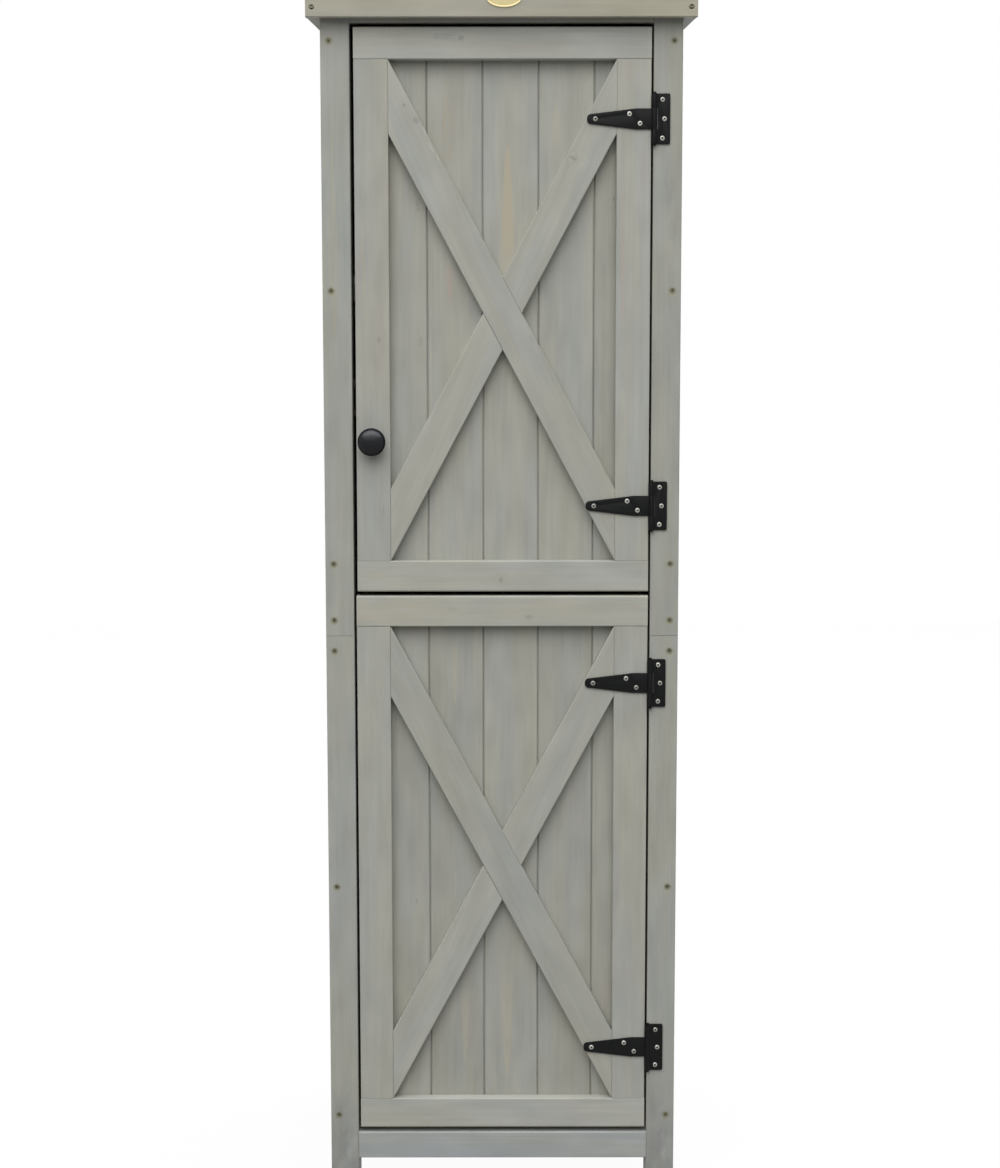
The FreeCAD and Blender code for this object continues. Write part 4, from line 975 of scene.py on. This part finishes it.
class CABINET_OT_cast_plate(bpy.types.Operator):
    """Cast the blank brass plate with its raised rim"""
    bl_idname = "cabinet.cast_plate"
    bl_label = "Cast the plate"

    def execute(self, context):
        roof = context.scene.cabinet_roof
        shape = flat_faced_copy("roof_plate")
        front = min(shape.faces, key=lambda face: face.normal.y)
        bmesh.ops.inset_region(shape, faces=[front], thickness=roof.rim_width)
        bmesh.ops.translate(shape, verts=front.verts, vec=-front.normal * PLATE_SUNK * MM)
        bmesh.ops.inset_region(shape, faces=[front], thickness=PLATE_BORDER * MM)
        ease(shape, sharp_edges(shape, 40), PLATE_EASE * MM)
        smooth(shape, 50)
        mesh = to_mesh(shape, "roof_plate_cast")
        # Satin brass: a pale warm yellow metal with a soft sheen
        brass = metal("Satin brass", roof.brass, 0.34, 0.15, 0.6)
        new_piece("roof_plate_cast", mesh, "cabinet", brass, "plain_brass", "roof_plate")
        return {"FINISHED"}


def nail_tree():
    """Clout nails at an even pitch along the edges of a carrier mesh."""
    tree, start, end = new_tree("Clout nails", "GeometryNodeTree",
                                {"Carrier": "Geometry", "Pitch": "Float", "Head radius": "Float",
                                 "Head height": "Float", "Shank length": "Float", "Finish": "Material"},
                                {"Nails": "Geometry"})
    line = add(tree, "GeometryNodeMeshToCurve", {"Mesh": start["Carrier"]}).outputs[0]
    even = add(tree, "GeometryNodeResampleCurve", {"Curve": line, "Length": start["Pitch"]},
               mode="LENGTH").outputs[0]
    crown = add(tree, MATH, {0: start["Head radius"], 1: 0.86}, operation="MULTIPLY").outputs[0]
    head = add(tree, "GeometryNodeMeshCone", {"Vertices": 20, "Radius Top": crown,
                                              "Radius Bottom": start["Head radius"],
                                              "Depth": start["Head height"]}).outputs["Mesh"]
    shank_radius = add(tree, MATH, {0: start["Head radius"], 1: 0.3}, operation="MULTIPLY").outputs[0]
    shank = add(tree, "GeometryNodeMeshCylinder", {"Vertices": 8, "Radius": shank_radius,
                                                   "Depth": start["Shank length"]}).outputs["Mesh"]
    half = add(tree, MATH, {0: start["Shank length"], 1: -0.5}, operation="MULTIPLY").outputs[0]
    lower = add(tree, JOIN, {"Z": half}).outputs[0]
    shank = add(tree, TRANSFORM, {"Geometry": shank, "Translation": lower}).outputs[0]
    nail = add(tree, "GeometryNodeJoinGeometry")
    tree.links.new(shank, nail.inputs[0])
    tree.links.new(head, nail.inputs[0])
    done = set_out(tree, start, even, nail.outputs[0], outward_turn(tree))
    fill(tree, end, {0: done})
    return tree


def felt_finish(roof):
    """Mineral bitumen felt."""
    # Bitumen felt with pressed in stone grit: a rough grey green surface of pale and dark grains,
    # drawn 1.6 mm wide so that they show, with worn patches
    material, tree, shader, place = new_material("Mineral bitumen felt")
    grain = add(tree, "ShaderNodeTexVoronoi", {"Vector": place, "Scale": 1 / (1.6 * MM)})
    patches = add(tree, NOISE, {"Vector": place, "Scale": 1 / (45.455 * MM), "Detail": 3.0}).outputs["Fac"]
    worn = add(tree, RANGE, {"Value": patches, "From Min": 0.35, "From Max": 0.65,
                             "To Min": 0.82, "To Max": 1.15})
    chips = add(tree, "ShaderNodeSeparateColor", {0: grain.outputs["Color"]}).outputs[0]
    shade = add(tree, RANGE, {"Value": chips, "To Min": 0.55, "To Max": 1.45})
    light = add(tree, MATH, {0: shade.outputs[0], 1: worn.outputs[0]}, operation="MULTIPLY").outputs[0]
    seen = add(tree, VECTOR, {0: (*roof.felt,), "Scale": light}, operation="SCALE").outputs[0]
    bump = add(tree, BUMP, {"Height": grain.outputs["Distance"], "Strength": 0.6, "Distance": 0.4 * MM})
    fill(tree, shader, {"Base Color": seen, "Roughness": 0.92, "Normal": bump.outputs["Normal"]})
    return material


# The roof's slope in degrees, and in mm its sizes, the felt's own and those of its corner folds
SLOPE = 5.0
ROOF_LENGTH = 420.22
ROOF_BUILD = 60.0
FELT_THICKNESS = 2.0
FELT_DROP = 22.0
SHEET = 1.0
TOP_CLEAR = 0.6
FOLD_RADIUS = 2.2
FOLD_LENGTH = 17.0
FOLD_RAISED = 0.5
FOLD_FROM_CORNER = 2.0
FOLD_FROM_FOOT = 0.4
FOLD_FROM_TOP = 3.0
FELT_STRIPS = 14
# The felt's waves: height and distance from the edges in mm, radians per metre across and along,
# and where the first one starts
WAVE_HEIGHT = 0.45
WAVE_EDGE = 3.0
WAVE_ACROSS = 41.0
WAVE_ALONG = 33.0
WAVE_START = 1.3
# Clout nails in mm: clear of the corners, above the felt's lower edge, head height and length
NAIL_CLEAR = 24.0
NAIL_LEVEL = 6.0
NAIL_HEAD = 0.7
NAIL_LENGTH = 14.0


class CABINET_OT_lay_felt(bpy.types.Operator):
    """Lay the roof felt with folded corners and nail it round its turned down edge"""
    bl_idname = "cabinet.lay_felt"
    bl_label = "Lay the felt"

    def execute(self, context):
        roof = context.scene.cabinet_roof
        on_roof = self.roof_place()
        half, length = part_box("roof_fascia")[1].x, ROOF_LENGTH * MM
        sheet, top = SHEET * MM, (ROOF_BUILD - TOP_CLEAR) * MM
        foot = (ROOF_BUILD - FELT_DROP) * MM
        mesh = self.thickened(self.hood(half, length, sheet, foot, top), sheet)
        self.fold_corners(mesh, half + sheet, length, foot, top)
        mesh.transform(on_roof)
        new_piece("roof_felt_laid", mesh, "cabinet", felt_finish(roof), "roofing_felt", "roof_felt")
        self.nail(roof, on_roof, half + sheet, length + sheet, foot + NAIL_LEVEL * MM)
        return {"FINISHED"}

    def roof_place(self):
        """The roof's own frame: its origin at the foot of the fascia's face, Y up the slope."""
        low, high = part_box("roof_felt")
        slope = math.radians(SLOPE)
        lean, rise = math.sin(slope), math.cos(slope)
        y = low.y + (FELT_THICKNESS * rise + ROOF_BUILD * lean) * MM
        z = high.z - ((ROOF_LENGTH + FELT_THICKNESS) * lean + ROOF_BUILD * rise) * MM
        return Matrix.Translation((0, y, z)) @ Matrix.Rotation(slope, 4, "X")

    def hood(self, half, length, sheet, foot, top):
        """The felt's outer face: a lid with four turned down sides, a little wavy on top."""
        shape = bmesh.new()
        made = bmesh.ops.create_cube(shape, size=1)
        wide, deep, tall = 2 * (half + sheet), length + 2 * sheet, top - foot
        for vertex in made["verts"]:
            vertex.co.x *= wide
            vertex.co.y = (vertex.co.y + 0.5) * deep - sheet
            vertex.co.z = foot + (vertex.co.z + 0.5) * tall
        bottom = min(shape.faces, key=lambda face: face.calc_center_median().z)
        bmesh.ops.delete(shape, geom=[bottom], context="FACES_ONLY")
        for normal, start, end in ((Vector((1, 0, 0)), -half, half), (Vector((0, 1, 0)), 0.0, length)):
            for step in range(1, FELT_STRIPS):
                place = normal * (start + (end - start) * step / FELT_STRIPS)
                bmesh.ops.bisect_plane(shape, geom=shape.verts[:] + shape.edges[:] + shape.faces[:],
                                       plane_co=place, plane_no=normal)
        ease(shape, sharp_edges(shape, 57), FOLD_RADIUS * MM, 4)
        edge = WAVE_EDGE * MM
        for vertex in shape.verts:
            inner = abs(vertex.co.x) < half - edge and edge < vertex.co.y < length - edge
            if inner and vertex.co.z > top - sheet / 10:
                wave = math.sin(vertex.co.x * WAVE_ACROSS + WAVE_START)
                wave *= math.cos(vertex.co.y * WAVE_ALONG)
                vertex.co.z += WAVE_HEIGHT * MM * (wave - 1) / 2
        smooth(shape, 40)
        return to_mesh(shape, "roof_felt_laid")

    def thickened(self, mesh, sheet):
        """The sheet with its thickness to the inside."""
        piece = bpy.data.objects.new("felt", mesh)
        bpy.context.scene.collection.objects.link(piece)
        wall = piece.modifiers.new("Thickness", "SOLIDIFY")
        wall.thickness = sheet
        wall.offset = -1
        graph = bpy.context.evaluated_depsgraph_get()
        thick = bpy.data.meshes.new_from_object(piece.evaluated_get(graph))
        bpy.data.objects.remove(piece)
        return thick

    def fold_corners(self, mesh, side, length, foot, top):
        """The triangular folds that lie on the roof's two sides at its corners."""
        shape = bmesh.new()
        shape.from_mesh(mesh)
        raised = FOLD_RAISED * MM
        low, high = foot + FOLD_FROM_FOOT * MM, top - FOLD_FROM_TOP * MM
        near = FOLD_FROM_CORNER * MM
        for sign in (-1, 1):
            for end, way in ((near, 1), (length - near, -1)):
                outline = [(end, low), (end + way * FOLD_LENGTH * MM, low), (end, high)]
                inner = [shape.verts.new((sign * (side - raised), y, z)) for y, z in outline]
                outer = [shape.verts.new((sign * (side + raised), y, z)) for y, z in outline]
                faces = [shape.faces.new(outer), shape.faces.new(inner[::-1])]
                for first, second in ((0, 1), (1, 2), (2, 0)):
                    wall = (inner[first], inner[second], outer[second], outer[first])
                    faces.append(shape.faces.new(wall))
                bmesh.ops.recalc_face_normals(shape, faces=faces)
        shape.to_mesh(mesh)
        shape.free()

    def nail(self, roof, on_roof, side, far, level):
        """Clout nails along the four turned down edges."""
        clear = NAIL_CLEAR * MM
        near = -SHEET * MM
        lines = [((-side + clear, near), (side - clear, near), (0, -1)),
                 ((side, near + clear), (side, far - clear), (1, 0)),
                 ((side - clear, far), (-side + clear, far), (0, 1)),
                 ((-side, far - clear), (-side, near + clear), (-1, 0))]
        places = []
        for first, second, out in lines:
            outward = on_roof.to_3x3() @ Vector((*out, 0))
            places += [(on_roof @ Vector((*spot, level)), outward, 1.0) for spot in (first, second)]
        edges = [(2 * index, 2 * index + 1) for index in range(len(lines))]
        # Galvanised steel: flat grey heads with a dull sparkle
        zinc = metal("Galvanised clout nails", linear("8f9290"), 0.45, 0.3)
        sizes = {"Pitch": roof.nail_pitch, "Head radius": roof.nail_radius,
                 "Head height": NAIL_HEAD * MM, "Shank length": NAIL_LENGTH * MM, "Finish": zinc}
        mesh = grown("felt_nails", nail_tree(), places, sizes, edges)
        new_piece("felt_nails", mesh, "cabinet", None, "zinc_screw")


# Catches

# The magnetic catches in mm. The poles' places are shares of the catch's width
CATCH_EAR = 8.0
CATCH_BASE = 3.0
POLE_AT = (0.28, 0.6)
POLE_THICKNESS = 1.6
POLE_DEPTH = 3.0
POLE_PROUD = 0.2
POLE_INSET = 11.0
CATCH_EASE = 0.5
STRIKE_EASE = 0.25
CATCH_SCREW = {"Head radius": 2.8, "Head height": 1.4, "Shank radius": 1.2, "Shank length": 12.0}
KNOB_SCREW_SHANK = 2.0
# The size of the small screws' recess against that of the hinge screws
CATCH_RECESS = 0.8


def plastic_finish():
    """Moulded brown plastic."""
    # Injection moulded plastic: an even mid brown with a faint cloudy satin skin
    material, tree, shader, place = new_material("Moulded brown plastic")
    cloudy = add(tree, NOISE, {"Vector": place, "Scale": 1 / (3.3333 * MM), "Detail": 2.0}).outputs["Fac"]
    rough = add(tree, RANGE, {"Value": cloudy, "To Min": 0.38, "To Max": 0.58}).outputs[0]
    seen = add(tree, BLEND, {0: cloudy, 6: opaque("5b4534"), 7: opaque("4c3a2c")},
               data_type="RGBA").outputs[2]
    bump = add(tree, BUMP, {"Height": cloudy, "Strength": 0.15, "Distance": 0.1 * MM})
    fill(tree, shader, {"Base Color": seen, "Roughness": rough, "Normal": bump.outputs["Normal"]})
    return material


class CABINET_OT_fit_catches(bpy.types.Operator):
    """Fit the magnetic catches, their strike plates and the knob's screw"""
    bl_idname = "cabinet.fit_catches"
    bl_label = "Fit the catches"

    def execute(self, context):
        fixing = context.scene.cabinet_fixing
        # Bright zinc plated steel: a clean satin silver grey
        steel = metal("Zinc plated catch steel", linear("a9a8a2"), 0.3, 0.1)
        pan = bpy.data.node_groups["Pan head screws"]
        recess = {"Recess length": fixing.recess_length * CATCH_RECESS,
                  "Recess width": fixing.recess_width * CATCH_RECESS,
                  "Recess depth": fixing.recess_depth * CATCH_RECESS,
                  "Seed": fixing.seed, "Finish": steel, "Recess material": steel}
        self.catches(steel, pan, recess)
        low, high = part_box("knob_screw")
        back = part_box("upper_door_boards")[1].y
        centre = Vector(((low.x + high.x) / 2, back, (low.z + high.z) / 2))
        mesh = grown("knob_screw_fitted", pan, [(centre, Vector((0, 1, 0)), 1.0)],
                     {"Head radius": (high.x - low.x) / 2, "Head height": high.y - back,
                      "Shank radius": KNOB_SCREW_SHANK * MM, "Shank length": back - low.y, **recess})
        new_piece("knob_screw_fitted", mesh, "upper_door", None, "zinc_screw", "knob_screw")
        for door in ("upper_door", "lower_door"):
            node = door + "_strike_plate"
            mesh = eased_copy(node, node + "_eased", STRIKE_EASE * MM)
            new_piece(node + "_eased", mesh, door, steel, "zinc_screw", node)
        return {"FINISHED"}

    def catches(self, steel, pan, recess):
        """The moulded bodies with their two steel poles and two screws each."""
        bodies, poles, screws = bmesh.new(), bmesh.new(), []
        for points in separate_solids("magnetic_catches"):
            low = Vector([min(point[axis] for point in points) for axis in range(3)])
            high = Vector([max(point[axis] for point in points) for axis in range(3)])
            ear = Vector((0, 0, CATCH_EAR * MM))
            base = low.x + CATCH_BASE * MM
            self.block(bodies, low + ear, high - ear)
            self.block(bodies, low, Vector((base, high.y, high.z)))
            for part in POLE_AT:
                x = low.x + (high.x - low.x) * part
                self.block(poles, Vector((x, low.y - POLE_PROUD * MM, low.z + POLE_INSET * MM)),
                           Vector((x + POLE_THICKNESS * MM, low.y + POLE_DEPTH * MM,
                                   high.z - POLE_INSET * MM)))
            y = (low.y + high.y) / 2
            for z in (low.z + ear.z / 2, high.z - ear.z / 2):
                screws.append((Vector((base, y, z)), Vector((1, 0, 0)), 1.0))
        plastic = plastic_finish()
        for name, shape, material, slot, node in (
                ("magnetic_catches_moulded", bodies, plastic, "catch_plastic", ("magnetic_catches",)),
                ("catch_poles", poles, steel, "zinc_screw", ())):
            ease(shape, shape.edges[:], CATCH_EASE * MM)
            smooth(shape, 40)
            new_piece(name, to_mesh(shape, name), "cabinet", material, slot, *node)
        sizes = {label: value * MM for label, value in CATCH_SCREW.items()}
        mesh = grown("catch_screws", pan, screws, {**sizes, **recess})
        new_piece("catch_screws", mesh, "cabinet", None, "zinc_screw")

    def block(self, shape, low, high):
        """Add a box between two corners."""
        made = bmesh.ops.create_cube(shape, size=1)
        for vertex in made["verts"]:
            vertex.co = Vector([low[axis] + (high[axis] - low[axis]) * (vertex.co[axis] + 0.5)
                                for axis in range(3)])


# Stage

# Half the floor's side in metres, the grey that lights the object, the white that the camera sees,
# how much of that white it sees, and the camera's place to the side in metres
FLOOR_HALF = 6.0
FLOOR_GREY = 0.18
FLOOR_WHITE = 1.09
FLOOR_SHARE = 0.88
CAMERA_X = -0.0026
# Each lamp: width and height, place, and the point that it looks at, in metres
SOFTBOX = ((5.4, 5.4), (-0.67, -4.1, 4.5), (0, 0, 1))
REAR_SOFTBOX = ((4.0, 3.0), (2.4, 3.0, 3.4), (0, 0, 1))
KNOB_CARD = ((5.0, 2.0), (-0.17, -1.22, 2.9), (-0.17, -0.2, 1))
CARD_COLOUR = (0.88, 0.92, 1.0)


def seen_directly(tree):
    """A socket that is 1 for what the camera, a reflection or a glass sees, and 0 for other light."""
    rays = tree.nodes.new("ShaderNodeLightPath").outputs
    seen = add(tree, MATH, {0: rays["Is Camera Ray"], 1: rays["Is Glossy Ray"]}, operation="MAXIMUM")
    seen = add(tree, MATH, {0: seen.outputs[0], 1: rays["Is Transmission Ray"]}, operation="MAXIMUM")
    return seen.outputs[0]


class CABINET_OT_build_stage(bpy.types.Operator):
    """Set up the white floor, the room light, the lamps and the camera"""
    bl_idname = "cabinet.build_stage"
    bl_label = "Build the stage"

    def execute(self, context):
        studio = context.scene.cabinet_studio
        scene = context.scene
        scene.view_settings.view_transform = "Standard"
        self.floor(scene)
        self.room(scene, studio)
        self.lamps(scene, studio)
        self.camera(scene, studio)
        return {"FINISHED"}

    def floor(self, scene):
        """A floor that looks white, keeps a faint shadow and lights the object little."""
        shape = bmesh.new()
        bmesh.ops.create_grid(shape, x_segments=1, y_segments=1, size=FLOOR_HALF)
        mesh = to_mesh(shape, "studio_floor")
        # Photographer's white paper: plain white with hardly any shadow
        material, tree, shader = new_material("White floor")[:3]
        fill(tree, shader, {"Base Color": (FLOOR_GREY, FLOOR_GREY, FLOOR_GREY, 1), "Roughness": 0.9})
        white = add(tree, "ShaderNodeEmission", {"Strength": FLOOR_WHITE}).outputs[0]
        amount = add(tree, MATH, {0: seen_directly(tree), 1: FLOOR_SHARE}, operation="MULTIPLY").outputs[0]
        blend = add(tree, "ShaderNodeMixShader", {0: amount, 1: shader.outputs[0], 2: white})
        fill(tree, tree.nodes["Material Output"], {"Surface": blend.outputs[0]})
        mesh.materials.append(material)
        ground = bpy.data.objects.new("studio_floor", mesh)
        scene.collection.objects.link(ground)

    def room(self, scene, studio):
        """Soft light that grows towards the zenith. The room itself looks white."""
        world = bpy.data.worlds.new("Studio room")
        scene.world = world
        world.use_nodes = True
        tree = world.node_tree
        way = tree.nodes.new("ShaderNodeTexCoord").outputs["Generated"]
        up = add(tree, SPLIT, {0: way}).outputs["Z"]
        light = add(tree, RANGE, {"Value": up, "From Min": 0.3, "From Max": 1.0, "To Min": studio.sky,
                                  "To Max": studio.zenith}, interpolation_type="SMOOTHSTEP").outputs[0]
        strength = add(tree, BLEND, {0: seen_directly(tree), 2: light, 3: 1.0}, data_type="FLOAT")
        fill(tree, tree.nodes["Background"], {"Color": (1, 1, 1, 1), "Strength": strength.outputs[0]})

    def lamps(self, scene, studio):
        """A large softbox in front, a weaker one behind for the right side and back, and the knob's card."""
        self.lamp(scene, "Softbox", SOFTBOX, studio.softbox)
        self.lamp(scene, "Rear softbox", REAR_SOFTBOX, studio.rear)
        card = self.lamp(scene, "Knob card", KNOB_CARD, studio.card)
        card.data.color = CARD_COLOUR
        lit = bpy.data.collections.new("Lit by the knob card")
        lit.objects.link(bpy.data.objects["door_knob_turned"])
        card.light_linking.receiver_collection = lit

    def lamp(self, scene, name, setup, power):
        """A rectangular lamp from its sides, its place and its target."""
        sides, place, target = setup
        data = bpy.data.lights.new(name, "AREA")
        data.shape = "RECTANGLE"
        data.size, data.size_y = sides
        data.energy = power
        lamp = bpy.data.objects.new(name, data)
        lamp.location = place
        lamp.rotation_euler = (Vector(target) - lamp.location).to_track_quat("-Z", "Y").to_euler()
        scene.collection.objects.link(lamp)
        return lamp

    def camera(self, scene, studio):
        """The camera at the photograph's viewing angle."""
        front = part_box("front_post_left_upper")[0].y
        data = bpy.data.cameras.new("Photograph view")
        data.sensor_width = 36
        data.lens = studio.lens
        camera = bpy.data.objects.new("Photograph view", data)
        camera.location = (CAMERA_X, front - studio.distance, studio.height)
        turn = Matrix.Rotation(math.pi / 2 - studio.pitch, 3, "X") @ Matrix.Rotation(studio.roll, 3, "Z")
        camera.rotation_euler = turn.to_euler()
        scene.collection.objects.link(camera)
        scene.camera = camera


# Add-on

OPERATORS = (CABINET_OT_stain_timber, CABINET_OT_fit_screws, CABINET_OT_fit_hinges, CABINET_OT_turn_knob,
             CABINET_OT_cast_plate, CABINET_OT_lay_felt, CABINET_OT_fit_catches, CABINET_OT_build_stage)
SETTINGS = {"cabinet_timber": TimberSettings, "cabinet_fixing": FixingSettings,
            "cabinet_hinge": HingeSettings, "cabinet_knob": KnobSettings, "cabinet_roof": RoofSettings,
            "cabinet_studio": StudioSettings}


class CABINET_PT_panel(bpy.types.Panel):
    """The cabinet's pieces in the order in which they are made"""
    bl_idname = "CABINET_PT_panel"
    bl_label = "Garden Storage Cabinet"
    bl_space_type = "VIEW_3D"
    bl_region_type = "UI"
    bl_category = "Cabinet"

    def draw(self, context):
        for operator in OPERATORS:
            self.layout.operator(operator.bl_idname)
        for name, settings in SETTINGS.items():
            column = self.layout.box().column()
            for label in settings.__annotations__:
                column.prop(getattr(context.scene, name), label)


def register():
    for group in SETTINGS.values():
        bpy.utils.register_class(group)
    for name, group in SETTINGS.items():
        setattr(bpy.types.Scene, name, bpy.props.PointerProperty(type=group))
    for operator in OPERATORS:
        bpy.utils.register_class(operator)
    bpy.utils.register_class(CABINET_PT_panel)


def unregister():
    bpy.utils.unregister_class(CABINET_PT_panel)
    for operator in reversed(OPERATORS):
        bpy.utils.unregister_class(operator)
    for name, group in SETTINGS.items():
        delattr(bpy.types.Scene, name)
        bpy.utils.unregister_class(group)


def main():
    register()
    bpy.ops.cabinet.stain_timber()
    bpy.ops.cabinet.fit_screws()
    bpy.ops.cabinet.fit_hinges()
    bpy.ops.cabinet.turn_knob()
    bpy.ops.cabinet.cast_plate()
    bpy.ops.cabinet.lay_felt()
    bpy.ops.cabinet.fit_catches()
    bpy.ops.cabinet.build_stage()


if __name__ == "__main__":
    main()
